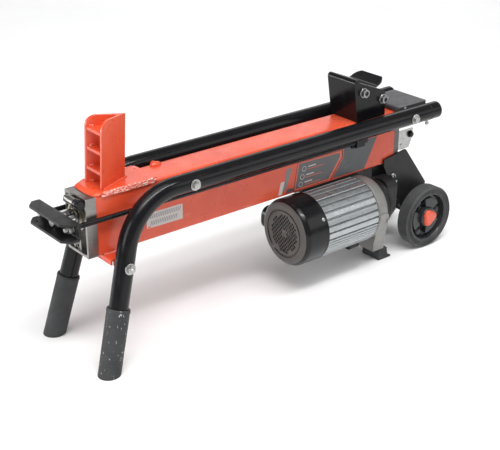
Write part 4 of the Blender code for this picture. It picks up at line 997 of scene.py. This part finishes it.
def make_ram():
    low, high = span("piston_rod")
    shoulder = -432.1
    profile = [(0, high.x), (8, high.x), (9, high.x - 1), (9, -8.3), (14, -8.3), (14, shoulder + 1),
               (13, shoulder),
               (8, shoulder), (0, shoulder)]
    rod = turned((0, 0, RAM_Z), (1, 0, 0), profile, 72)
    stud = threaded((shoulder + 0.5, 0, RAM_Z), (low.x, 0, RAM_Z), 8.0, 1.5)
    piece("ram_rod", rod, CHROME, "ram", stands_for="piston_rod")
    piece("ram_stud", stud, ZINC, "ram")
    for name, side in SIDES.items():
        start, end = span(f"tie_rod_{name}")
        y = side * TIE_Y
        body = cylinder((start.x + 26, y, RAM_Z), (end.x - 16, y, RAM_Z), 4.5, 40)
        piece(f"pull_rod_{name}", body, GLOSS_BLACK, "ram", stands_for=f"tie_rod_{name}", bevel=0.3)
        front_thread = threaded((start.x + 27, y, RAM_Z), (start.x, y, RAM_Z), 4.4)
        rear_thread = threaded((end.x - 17, y, RAM_Z), (end.x, y, RAM_Z), 4.4)
        nut = hexagon((231.3, y, RAM_Z), (1, 0, 0), 7.7, 13)
        piece(f"pull_rod_front_thread_{name}", front_thread, ZINC, "ram")
        piece(f"pull_rod_rear_nut_{name}", merged([rear_thread, nut]), SATIN_BLACK, "ram")


def make_yoke():
    low, high = span("yoke")
    sheet = 4.5
    back = high.x
    channel = rounded([(low.x, low.z), (back, low.z), (back, high.z), (low.x, high.z),
                       (low.x, high.z - sheet),
                       (back - sheet, high.z - sheet), (back - sheet, low.z + sheet),
                       (low.x, low.z + sheet)],
                      [0, 6.5, 6.5, 0, 0, 2.0, 2.0, 0], 8)
    body = plate("XZ", [channel], low.y, high.y)
    tools = []
    for side in SIDES.values():
        corner = [(low.x - 5, side * (high.y - 14 - 5 * 14 / 12)), (low.x - 5, side * (high.y + 8)),
                  (low.x + 12 + 8 * 12 / 14, side * (high.y + 8))]
        tools.append(plate("XY", [corner], low.z - 5, high.z + 5))
        tools.append(cylinder((low.x + 9, side * 44, low.z - 5), (low.x + 9, side * 44, low.z + 8), 2.4,
                              32))
        tools.append(cylinder((back - 12, side * TIE_Y, RAM_Z), (back + 5, side * TIE_Y, RAM_Z), 4.8, 32))
    tools.append(cylinder((back - 12, 0, RAM_Z), (back + 5, 0, RAM_Z), 8.3, 48))
    piece("yoke_channel", cut(body, *tools), SATIN_BLACK, "ram", stands_for="yoke", bevel=0.7)
    seat = back - sheet - 0.1
    piece("rod_nut_hex", merged([ring((seat, 0, RAM_Z), (seat - 1.2, 0, RAM_Z), 8.1, 10.8),
                                 hexagon((seat - 1.2, 0, RAM_Z), (-1, 0, 0), 8, 19, 1.2)]), ZINC, "ram",
          stands_for="rod_nut", bevel=0.25)
    for name, side in SIDES.items():
        nut = bolt_set((seat, side * TIE_Y, RAM_Z), (-1, 0, 0), 15, 8.6, 7.4, thread=4.4)
        piece(f"yoke_nut_hex_{name}", nut, ZINC, "ram", stands_for=f"yoke_nut_{name}", bevel=0.25)


def make_pusher():
    low, high = span("pusher_face")
    half = high.y
    path = [(218.3, low.z), (204.4, 397.5), (266.5, 372.5), (292.0, 383.5)]
    face = plate("XZ", [strip(path, 4.0, 7.0)], -half, half)
    outline = rounded([(190, -half), (high.x + 1, -half), (high.x + 1, half), (190, half)], [0, 20, 20, 0],
                      16)
    face = combined(face, [plate("XY", [outline], low.z - 5, 420)], "INTERSECT")
    piece("pusher_plate", face, GLOSS_BLACK, "ram", stands_for="pusher_face", bevel=0.6)

    inner = offset_path(path, 4.3)
    top_front, hood = Vector(inner[1]), Vector(inner[2])
    fall = (hood.y - top_front.y) / (hood.x - top_front.x)
    rear_top = (293, top_front.y + fall * (293 - top_front.x))
    corners = [inner[0], (207, 289), (207, 252), (231, 252), (231, low.z), (295, low.z), rear_top,
               tuple(top_front)]
    outline = rounded(corners, [0, 2, 4, 4, 2, 4, 8, 3.4], 6)
    holes = ((232.4, 363.9), (286.5, 341.1))
    for name, side in SIDES.items():
        cheek = sided_plate([outline], side, 34.6, 38.0)
        first, last = sorted((side * 37.5, side * 49.5))
        lug = plate("YZ", [rounded(rectangle((first, RAM_Z - 10), (last, RAM_Z + 10)), 2)], 209, 231)
        piece(f"pusher_side_{name}", joined(cheek, lug), GLOSS_BLACK, "ram",
              stands_for=f"pusher_cheek_{name}",
              bevel=0.5)
        bead = [(inner[0][0] + 0.5, side * 34.2, low.z + 4),
                (top_front.x + 1.2, side * 34.2, top_front.y - 6)]
        piece(f"pusher_weld_{name}", weld_bead(bead, 2.0, side * 5), GLOSS_BLACK, "ram")
    heads = []
    tips = []
    for name, (x, z) in zip(("front", "rear"), holes):
        solids = [cylinder((x, -38.5, z), (x, 38.5, z), 5, 32), ring((x, -34.3, z), (x, 34.3, z), 5, 8)]
        for side in SIDES.values():
            seat = side * 38.2
            solids.append(ring((x, seat, z), (x, seat + side * 1.8, z), 5, 10))
            nut = hexagon((x, seat + side * 1.7, z), (0, side, 0), 7.4, 16)
            heads.append(cut(nut, cylinder((x, seat + side * 5.5, z), (x, seat + side * 12, z), 4.6, 32)))
            tips.append(threaded((x, seat + side * 3, z), (x, seat + side * 7.6, z), 4.2))
        piece(f"pusher_screw_{name}", merged(solids), ZINC, "ram", stands_for=f"pusher_bolt_{name}",
              bevel=0.25)
    piece("pusher_nuts", merged(heads), STEEL, "ram", bevel=0.25)
    piece("pusher_screw_tips", merged(tips), SATIN_BLACK, "ram")


# ---------------------------------------------------------------- motor


def motor_point(x, radius=0.0, degrees=0.0):
    """A point by its place along the shaft, its radius and its angle up from the near side."""
    angle = math.radians(degrees)
    return Vector((x, MOTOR[0] - radius * math.cos(angle), MOTOR[1] + radius * math.sin(angle)))


def fin_outline():
    """Round the housing: broad shallow flutes on top, and narrow deep fins below the middle."""
    points = []
    for start, end, count, depth, top in ((-8, 188, 16, 4.6, 0.33), (188, 352, 30, 6.8, 0.25)):
        pitch = math.radians(end - start) / count
        for i in range(count):
            middle = math.radians(start) + (i + 0.5) * pitch
            for radius, share in ((MOTOR_RADIUS - depth, -0.47), (MOTOR_RADIUS - 0.8, -top - 0.04),
                                  (MOTOR_RADIUS, -top + 0.04), (MOTOR_RADIUS, 0),
                                  (MOTOR_RADIUS, top - 0.04),
                                  (MOTOR_RADIUS - 0.8, top + 0.04), (MOTOR_RADIUS - depth, 0.47)):
                angle = middle + share * pitch
                points.append((MOTOR[0] + radius * math.cos(angle), MOTOR[1] + radius * math.sin(angle)))
    return points


def make_housing():
    low, high = span("motor_housing")
    housing = plate("YZ", [fin_outline(), circle(MOTOR, 54, 96)], low.x, high.x)
    piece("finned_housing", housing, ALUMINIUM, stands_for="motor_housing", bevel=0.4, segments=2)


def make_cowl():
    low, high = span("fan_cowl")
    face, rear = low.x, high.x
    round_centre = COWL_RADIUS - COWL_CORNER
    corner = [(round_centre + COWL_CORNER * math.sin(a), face + COWL_CORNER - COWL_CORNER * math.cos(a))
              for a in (math.radians(7.5 * k) for k in range(12, -1, -1))]
    inside = [(round_centre + 12 * math.sin(a), face + COWL_CORNER - 12 * math.cos(a))
              for a in (math.radians(15 * k) for k in range(0, 7))]
    rolled = [(COWL_RADIUS - COWL_WALL, rear), (COWL_RADIUS - 0.4, rear), (COWL_RADIUS, rear - 0.4),
              (COWL_RADIUS, rear - 4), (COWL_RADIUS - 0.5, rear - 4.6), (COWL_RADIUS - 0.5, rear - 5.4),
              (COWL_RADIUS, rear - 6)]
    step_ring = [(49.2, face), (48.3, face + 1.6), (46.6, face + 1.7), (45.4, face + 0.5),
                 (43.6, face + 0.5),
                 (41.4, face + 1.2), (41.4, face + COWL_WALL + 0.6)]
    profile = rolled + corner + step_ring + [(46, face + COWL_WALL + 1.5), (52, face + COWL_WALL)] + inside
    cowl = turned((0, *MOTOR), (1, 0, 0), profile, 128, closed=True)
    shell = piece("cowl_shell", cowl, PLASTIC, stands_for="fan_cowl", angle=30)
    # Faces that look towards -X take the lighter grey, partly a painted reflection of the bright studio
    shell.data.materials.append(COWL_FACE_REFLECTION)
    for polygon in shell.data.polygons:
        if polygon.normal.x < -0.80:
            polygon.material_index = 1

    holes = []
    pitch_u, pitch_v = GRILLE_PITCH
    half_u, half_v = GRILLE_HOLE
    for row in range(-12, 13):
        for column in range(-7, 8):
            u = (column + 0.5 * (row % 2)) * pitch_u
            v = row * pitch_v / 2
            reach = math.hypot(u, v)
            if 7.5 < reach < 37.0:
                centre = (MOTOR[0] + u, MOTOR[1] + v)
                holes.append([(centre[0] - half_u, centre[1]), (centre[0], centre[1] - half_v),
                              (centre[0] + half_u, centre[1]), (centre[0], centre[1] + half_v)])
    # The grille takes the same lighter grey, partly a painted reflection of the bright studio
    disc = plate("YZ", [circle(MOTOR, 42.0, 96)] + holes, face + 0.9, face + 2.6)
    piece("cowl_grille", disc, COWL_FACE_REFLECTION, bevel=0.3, segments=2)
    boss = turned((face + 1.2, *MOTOR), (-1, 0, 0),
                  [(2.0, 0.9), (5.2, 0.7), (6.2, 0), (6.2, -1), (2.0, -1)], 48, closed=True)
    piece("cowl_grille_boss", boss, COWL_FACE_REFLECTION)

    screws = []
    for degrees in (32, 152, 272):
        start = motor_point(COWL_SCREW_X, COWL_RADIUS - 0.4, degrees)
        out = (motor_point(COWL_SCREW_X, 10, degrees) - motor_point(COWL_SCREW_X)).normalized()
        head = turned(start, out, [(0, 3.0), (1.8, 2.8), (3.4, 1.9), (4.1, 0.6), (4.1, 0), (0, 0)], 40)
        screws.append(head)
    piece("cowl_screws", merged(screws), ZINC)


def make_fan():
    blades = []
    for i in range(9):
        middle = 2 * math.pi * i / 9
        outline = []
        for radius, turn in ((17, -0.10), (36, 0.02), (53, 0.16), (53, 0.21), (36, 0.10), (17, 0.02)):
            outline.append((MOTOR[0] + radius * math.cos(middle + turn),
                            MOTOR[1] + radius * math.sin(middle + turn)))
        blades.append(plate("YZ", [outline], 35, 57))
    hub = turned((34, *MOTOR), (1, 0, 0), [(8.3, 0), (15, 0), (18, 3), (18, 26), (8.3, 26)], 64,
                 closed=True)
    back = ring((56, *MOTOR), (58.5, *MOTOR), 8.3, 53, 96)
    piece("cooling_fan", merged(blades + [hub, back]), PLASTIC, "motor_spindle", stands_for="fan",
          bevel=0.3)


def make_motor_end():
    ring_front, ring_rear, rear = 213.6, 248.0, span("end_bracket")[1].x
    profile = [(8.1, ring_rear), (56, ring_rear), (59.4, ring_rear - 1.6), (61.8, ring_rear - 5.4),
               (63.6, ring_rear - 10), (65.0, ring_rear - 16), (65.9, 226), (66.4, 219), (65.6, 218.2),
               (65.6, 217.2),
               (66.6, 216.4), (66.8, ring_front + 1.6), (64.8, ring_front + 1.2), (62, ring_front),
               (30, ring_front),
               (30, 232), (8.1, 232)]
    drum = turned((0, *MOTOR), (1, 0, 0), profile, 96, closed=True)
    leg = rounded([(-71.6, 25.3), (-22.9, 25.3), (-22.9, 44), (-14, 92), (-82, 92), (-71.6, 44)],
                  [1, 1, 12, 4, 4, 12])
    web = cut(plate("YZ", [leg], 247, rear), cylinder((240, *MOTOR), (285, *MOTOR), 46.4, 96))
    lug = plate("XZ", [rounded([(216, 119), (240, 119), (240, 129), (228, 133), (216, 129)], 2)], -117,
                -106)
    piece("motor_end_casting", joined(drum, web, lug), CAST_GREY, stands_for="end_bracket", bevel=1.2)
    profile = [(8.2, rear - 0.3), (44.6, rear - 0.3), (46, rear - 1.7), (46, rear - 7), (44.4, rear - 8.4),
               (44.4, ring_rear + 6), (46.2, ring_rear + 4.4), (46.2, ring_rear + 0.1),
               (8.2, ring_rear + 0.1)]
    piece("pump_adapter", turned((0, *MOTOR), (1, 0, 0), profile, 96, closed=True), SATIN_BLACK, bevel=0.4)
    bolts = [hexagon(motor_point(ring_rear, END_BOLT_RADIUS, degrees), (1, 0, 0), 4.5, 8)
             for degrees in (45, 135, 225, 315)]
    piece("motor_end_bolts", merged(bolts), ZINC, bevel=0.2)


def make_motor_foot():
    low, high = span("rubber_foot")
    front = low.x
    profile = rounded([(front, 0), (high.x, 0), (high.x, 3.5), (front + 25, 6.5), (front + 23, high.z),
                       (front, high.z)], [1, 1, 1, 3, 2, 2])
    body = plate("XZ", [profile], low.y, high.y)
    grooves = [block((front - 2, low.y - 2, z), (front + 40, low.y + 1.0, z + 1.6)) for z in (9, 14, 19)]
    grooves += [block((front - 2, high.y - 1.0, z), (front + 40, high.y + 2, z + 1.6)) for z in (9, 14, 19)]
    piece("foot_block", cut(body, *grooves), GRIP, stands_for="rubber_foot", bevel=0.8)
    screws = [hexagon((294.5, y, 4.0), (0, 0, 1), 3.0, 8) for y in (-62, -33)]
    piece("foot_screws", merged(screws), ZINC)


def make_motor_fittings():
    box = rounded([(-62, 43), (-34, 43), (-34, 62), (-62, 62)], [5, 5, 0, 0])
    piece("cable_gland_box", plate("YZ", [box], 188, 214), PLASTIC, bevel=1.5)
    # A dark pad between the beam's underside and the motor's top: partly a mounting pad, partly painted
    # shade that keeps the floor from showing through the gap
    gap_shade_pad = rounded([(-31, 189.5), (-31, 194.9), (6, 194.9), (6, 180), (-6, 180), (-18, 186)], 1)
    piece("motor_saddle_and_gap_shade", plate("YZ", [gap_shade_pad], 84, 232), SATIN_BLACK, bevel=0.6)
    repaint("stator", COPPER)
    repaint("motor_rotor", STEEL)


# ---------------------------------------------------------------- pump, valve and lever


def make_pump():
    low, high = span("pump_housing")
    steps = ((low.x, low.x + 20.8, 0), (low.x + 21.4, low.x + 28.6, 0.4), (low.x + 28, high.x, 3))
    slices = []
    for start, end, inset in steps:
        loop = rounded(rectangle((low.y + inset, low.z + inset), (high.y - inset, high.z - inset)),
                       18 - inset, 12)
        slices.append(plate("YZ", [loop], start, end))
    piece("pump_casting", merged(slices), SATIN_BLACK, stands_for="pump_housing", bevel=1.0)
    heads = []
    for y in (low.y + 9, high.y - 9):
        for z in (low.z + 9, (low.z + high.z) / 2, high.z - 9):
            head = turned((high.x - 3, y, z), (1, 0, 0),
                          [(0, 3.0), (1.9, 3.0), (1.9, 4.6), (3.4, 4.6), (3.8, 4.2),
                                                         (3.8, 0), (0, 0)], 40)
            heads.append(head)
    piece("pump_cap_screws", merged(heads), ZINC)
    for node in ("drive_gear", "idler_gear"):
        repaint(node, STEEL)


def make_valve():
    low, high = span("valve_block")
    outline = rounded(rectangle((low.x, low.z), (high.x, high.z)), 3)
    body = plate("XZ", [outline], low.y, high.y)
    port_x, port_z = PORT
    port = cylinder((port_x, high.y - 6, port_z), (port_x, high.y + 5, port_z), 7.5, 40)
    piece("valve_body", cut(body, port), SATIN_BLACK, stands_for="valve_block", bevel=1.2)
    spool_x = LEVER.x + 6
    # The spool end is short, to leave room for the lever's foot at its lower limit
    profile = [(0, 4.2), (4.4, 4.2), (5.4, 3.2), (5.4, 0), (0, 0)]
    spool = turned((spool_x, high.y - 2, SPOOL_Z), (0, 1, 0), profile, 40)
    collar = ring((spool_x, high.y, SPOOL_Z), (spool_x, high.y + 1.8, SPOOL_Z), 5.5, 9)
    piece("valve_plug", hexagon((port_x, high.y - 3.5, port_z), (0, 1, 0), 7, 12), ZINC)
    piece("valve_spool_end", merged([spool, collar]), STEEL)


def make_lever():
    bar = strip([(LEVER.y - 2.5, 171), (LEVER.y - 2.5, LEVER_ARM_Z + 2.5), (86, LEVER_ARM_Z + 2.5)], 5, 9)
    arm = plate("YZ", [bar], LEVER.x - LEVER_HALF, LEVER.x + LEVER_HALF)
    boss = cylinder((LEVER.x - LEVER_HALF, *LEVER[1:]), (LEVER.x + LEVER_HALF, *LEVER[1:]), 8, 48)
    piece("lever_arm", joined(arm, boss), GLOSS_BLACK, "lever", stands_for="control_lever", bevel=0.8)
    pin = cylinder((LEVER.x - LEVER_HALF - 8, *LEVER[1:]), (LEVER.x + LEVER_HALF + 8, *LEVER[1:]), 4, 40)
    rings = [ring((LEVER.x + s * 14.0, *LEVER[1:]), (LEVER.x + s * 15.0, *LEVER[1:]), 3.2, 6)
             for s in (-1, 1)]
    piece("lever_pin", merged([pin] + rings), ZINC, "lever", bevel=0.4)
    profile = [(0, 34.9), (5, 34.7), (9, 33.4), (11.2, 30.5), (12, 25)]
    for i in range(5):
        start = 24 - i * 4
        profile += [(11.9 - i * 0.1, start), (11.1 - i * 0.1, start - 0.9), (11.1 - i * 0.1, start - 1.9),
                    (11.8 - i * 0.1, start - 2.8)]
    profile += [(11.0, 3), (11.8, 1.5), (11.4, 0), (0, 0)]
    knob = turned((LEVER.x, 82.3, LEVER_ARM_Z), (0, 1, 0), profile, 64)
    piece("lever_knob", knob, GRIP, "lever")


# ---------------------------------------------------------------- wheels


def make_wheel_brackets():
    outline = rounded([(300, 206.2), (301, 192), (333, 127), (354.6, 95.4), (380, 54), (414, 54), (424, 84),
                       (431, 126), (364, 215.5)], [2, 3, 8, 8, 15, 15, 10, 6, 3], 10)
    for name, side in SIDES.items():
        body = sided_plate([outline, circle((329, 164), 4, 32), circle(WHEEL, 6.3, 48)], side, 34.3, 38.3)
        tube = ring((WHEEL[0], side * 1, WHEEL[1]), (WHEEL[0], side * 54, WHEEL[1]), 6.3, 10, 48)
        piece(f"bracket_plate_{name}", merged([body, tube]), SATIN_BLACK,
              stands_for=f"wheel_bracket_{name}", bevel=0.6)
        seat = Vector((329, side * 38.3, 164))
        head = turned(seat, (0, side, 0), [(0, 4.6), (4.2, 4.4), (6.6, 2.8), (7.2, 1.0), (7.2, 0), (0, 0)],
                      48)
        socket = hexagon(seat + Vector((0, side * 1.8, 0)), (0, side, 0), 5, 5.4, 0.1)
        piece(f"bracket_bolt_{name}", cut(head, socket), STEEL, angle=40)
        bead = []
        for a in range(25):
            turn = a / 12 * math.pi
            bead.append((WHEEL[0] + 10.4 * math.cos(turn), side * 38.8, WHEEL[1] + 10.4 * math.sin(turn)))
        piece(f"bracket_weld_{name}", weld_bead(bead, 1.5, side * 3), SATIN_BLACK)
    axle = cylinder((WHEEL[0], -85.8, WHEEL[1]), (WHEEL[0], 85.8, WHEEL[1]), 6, 48)
    piece("axle_shaft", axle, ZINC, stands_for="axle", bevel=0.8)


def make_wheel(name, side):
    body = f"wheel_{name}"
    centre = Vector((WHEEL[0], 0, WHEEL[1]))
    outward = (0, side, 0)
    inner, outer, radius = WHEEL_INNER, WHEEL_OUTER, WHEEL_RADIUS
    wall = [(52, outer - 2.4), (52.6, outer - 1.4), (54.0, outer - 1.4)]
    for ridge in (55.4, 58.0, 60.6, 63.0):
        wall += [(ridge - 0.7, outer - 1.5), (ridge - 0.4, outer), (ridge + 0.4, outer),
                 (ridge + 0.7, outer - 1.5)]
    wall.append((65.4, outer - 2.8))
    tread = []
    pitch, count = 3.3, 7
    for i in range(count + 1):
        high = outer - 4.0 - i * pitch
        tread += [(radius - 0.4, high + 0.4), (radius, high - 0.1), (radius, high - pitch + 1.5)]
        if i < count:
            tread += [(radius - 0.3, high - pitch + 1.4), (radius - 2.5, high - pitch + 1.3),
                      (radius - 2.5, high - pitch + 0.5)]
    back = [(65.2, inner + 2.0), (62.8, inner + 1.0), (60, inner), (55.2, inner), (52, inner + 2.2)]
    tyre = turned(centre, outward, wall + tread + back, 128, closed=True)
    piece(f"tyre_tread_{name}", tyre, TYRE, body, stands_for=f"tyre_{name}")

    floor_y = outer - 19
    dish = [(6.15, outer - 1.6), (19.4, outer - 1.6), (20.6, outer - 2.4), (21.2, outer - 4),
            (21.6, floor_y + 2),
            (23, floor_y + 0.4), (45, floor_y), (47.4, floor_y + 1.6), (48.2, floor_y + 4),
            (48.8, outer - 4.4),
            (49.6, outer - 3.2), (51.9, outer - 2.9), (51.9, inner + 2.9), (48, inner + 2.9),
            (46.5, inner + 5),
            (44, floor_y - 3.2), (20, floor_y - 3.2), (16.5, floor_y - 5), (15.5, inner + 0.4),
            (6.15, inner + 0.4)]
    hub = turned(centre, outward, dish, 96, closed=True)
    piece(f"hub_disc_{name}", hub, HUB_PLASTIC, body, stands_for=f"hub_{name}", angle=40)
    sectors = []
    knobs = []
    for turn in (65, 185, 305):
        angles = [math.radians(turn - 33 + 3 * i) for i in range(23)]
        outline = [(WHEEL[0] + 40 * math.cos(a), WHEEL[1] + 40 * math.sin(a)) for a in angles]
        outline += [(WHEEL[0] + 19.5 * math.cos(a), WHEEL[1] + 19.5 * math.sin(a)) for a in angles[::-1]]
        sectors.append(sided_plate([outline], side, floor_y - 0.5, outer - 9))
        middle = centre + Vector((math.cos(math.radians(turn - 60)), 0,
                                  math.sin(math.radians(turn - 60)))) * 38.5
        profile = [(0, outer - 12), (5, outer - 12.3), (8, outer - 13.4), (9.6, outer - 15.4),
                   (10, outer - 17.6),
                   (10, floor_y - 0.5), (0, floor_y - 0.5)]
        knobs.append(turned(middle, outward, profile, 48))
    piece(f"hub_spokes_{name}", merged(sectors), HUB_PLASTIC, body, bevel=3.6, segments=5)
    piece(f"hub_knobs_{name}", merged(knobs), HUB_PLASTIC, body, angle=40)

    rows = []
    for height, share in ((0.0, 1.0), (3.0, 1.0), (4.2, 0.98), (4.7, 0.94), (4.7, 0.91), (4.2, 0.89),
                          (4.2, 0.86),
                          (5.8, 0.83), (6.5, 0.76), (6.8, 0.6), (6.9, 0.3)):
        row = []
        for k in range(96):
            angle = 2 * math.pi * k / 96
            lobe = (17.0 + 2.2 * math.cos(3 * (angle - math.radians(5)))) * share
            row.append((centre.x + lobe * math.cos(angle), side * (outer - 1.4 + height),
                        centre.z + lobe * math.sin(angle)))
        rows.append(row)
    piece(f"hub_cap_dome_{name}", lofted(rows), CAP_ORANGE, body, stands_for=f"hub_cap_{name}", angle=50)


# ---------------------------------------------------------------- switch box


def make_switch_box():
    low, high = span("switch_box")
    outline = rounded(rectangle((low.x, low.z), (high.x, high.z)), [18, 6, 6, 18], 12)
    body = plate("XZ", [outline], low.y, high.y)
    inner = rounded(rectangle((low.x + 2.5, low.z + 2.5), (high.x - 2.5, high.z - 2.5)), [15.5, 4, 4, 15.5],
                    12)
    cavity = plate("XZ", [inner], low.y + 2.5, high.y + 5)
    piece("switch_case", cut(body, cavity), PLASTIC, stands_for="switch_box", bevel=1.2)
    lid_low, lid_high = span("switch_lid")
    middle = (low.z + high.z) / 2
    button_low, button_high = span("start_button")
    button_x = (button_low.x + button_high.x) / 2
    lid = plate("XZ", [outline, circle((button_x, middle), 8.4, 64)], lid_low.y, lid_high.y)
    piece("switch_cover", lid, PLASTIC, stands_for="switch_lid", bevel=0.9)
    bezel = ring((button_x, lid_high.y - 0.4, middle), (button_x, lid_high.y + 1.8, middle), 8.6, 12.5, 72)
    piece("button_bezel", bezel, PLASTIC, bevel=0.4)
    screws = []
    for x in (low.x + 11, high.x - 8):
        for z in (low.z + 11, high.z - 11):
            head = turned((x, lid_high.y - 0.2, z), (0, 1, 0),
                          [(0, 1.7), (1.6, 1.6), (2.9, 0.9), (3.2, 0), (0, 0)], 40)
            slot = block((x - 2, lid_high.y + 0.8, z - 0.4), (x + 2, lid_high.y + 3, z + 0.4))
            screws.append(cut(head, slot))
    piece("switch_cover_screws", merged(screws), ZINC)
    start = (button_x, lid_low.y, middle)
    profile = [(0, 8.0), (5.0, 8.0), (6.2, 8.4), (7.3, 8.1), (8, 7.2), (8, -1), (10, -1), (10, -4), (0, -4)]
    piece("start_knob", turned(start, (0, 1, 0), profile, 72), GREEN, "button", stands_for="start_button")


def make_power_inlet():
    low, high = span("power_inlet")
    centre = ((low.y + high.y) / 2, (low.z + high.z) / 2)
    shroud = turned((low.x, *centre), (1, 0, 0),
                    [(0, 4), (14.5, 4), (14.5, 23.4), (15.1, 24), (16.4, 24), (17, 23.4),
                                                  (17, 3), (16.4, 2.4), (16.4, 0), (0, 0)], 72)
    pins = [cylinder((low.x + 3, centre[0] + y, centre[1] + z), (low.x + 20, centre[0] + y, centre[1] + z),
                     2.0, 24)
            for y, z in ((-6, -3.5), (6, -3.5), (0, 7))]
    piece("inlet_shroud", shroud, PLASTIC, stands_for="power_inlet", bevel=0.3)
    piece("inlet_pins", merged(pins), BRASS, bevel=0.5)
    straps = [plate("YZ", [rounded([(4, 108), (22, 108), (22, 116), (4, 116)], 2)], x, x + 10)
              for x in (90, 130)]
    piece("switch_case_straps", merged(straps), SATIN_BLACK, bevel=0.5)


# ---------------------------------------------------------------- studio


def make_studio():
    work = bmesh.new()
    bmesh.ops.create_grid(work, x_segments=2, y_segments=2, size=7)
    floor = bpy.data.objects.new("studio_floor", mesh_from(work))
    floor.location.z = -0.0004
    bpy.context.scene.collection.objects.link(floor)
    n = Nodes("pale_floor")
    tone = n.mix(n.spread(n.noise(2.5, 4), 0.3, 0.7), (0.93, 0.93, 0.93), (0.90, 0.90, 0.905))
    rough = n.spread(n.noise(9, 3), 0.3, 0.7, 0.55, 0.65)
    floor.data.materials.append(n.finish(tone, rough, n.bump(n.noise(300, 2), 0.02, 0.2), specular=0.2))

    def softbox(name, place, target, size, power):
        light = bpy.data.lights.new(name, "AREA")
        light.shape = "RECTANGLE"
        light.size, light.size_y = size
        light.energy = power
        lamp = bpy.data.objects.new(name, light)
        lamp.location = place
        lamp.rotation_euler = (Vector(target) - Vector(place)).to_track_quat("-Z", "Y").to_euler()
        bpy.context.scene.collection.objects.link(lamp)

    for settings in SOFTBOXES:
        softbox(*settings)
    sky = bpy.data.lights.new("sky", "SUN")
    sky.energy = SKY_ENERGY
    sky.angle = math.radians(SKY_ANGLE)
    lamp = bpy.data.objects.new("sky", sky)
    lamp.rotation_euler = Vector((0.15, 0.25, -1)).to_track_quat("-Z", "Y").to_euler()
    bpy.context.scene.collection.objects.link(lamp)
    world = bpy.data.worlds.new("studio")
    world.use_nodes = True
    background = world.node_tree.nodes["Background"]
    background.inputs["Color"].default_value = (1, 1, 1, 1)
    background.inputs["Strength"].default_value = WORLD_STRENGTH
    bpy.context.scene.world = world
    bpy.context.scene.view_settings.view_transform = "Standard"

    camera = bpy.data.objects.new("camera", bpy.data.cameras.new("camera"))
    camera.data.lens = CAMERA_LENS
    camera.data.sensor_width = 36.0
    camera.data.clip_start = 0.05
    camera.location = CAMERA_PLACE
    camera.rotation_euler = (math.radians(90 - CAMERA_ELEVATION), 0, math.radians(CAMERA_AZIMUTH))
    bpy.context.scene.collection.objects.link(camera)
    bpy.context.scene.camera = camera


# ---------------------------------------------------------------- assembly

make_studio()
make_beam()
make_stickers()
make_front_block()
make_rear_block()
make_wedge()
make_wedge_base()
for side_name, side_sign in SIDES.items():
    make_tube(side_name, side_sign)
    make_sleeve(side_name, side_sign)
    make_wheel(side_name, side_sign)
make_tube_bolts()
make_leg_bracket()
make_rail_joint()
make_rear_cover()
make_guard_bracket()
make_ram()
make_yoke()
make_pusher()
make_housing()
make_cowl()
make_fan()
make_motor_end()
make_motor_foot()
make_motor_fittings()
make_pump()
make_valve()
make_lever()
make_wheel_brackets()
make_switch_box()
make_power_inlet()
repaint("cylinder_tube", STEEL)
repaint("piston", STEEL)
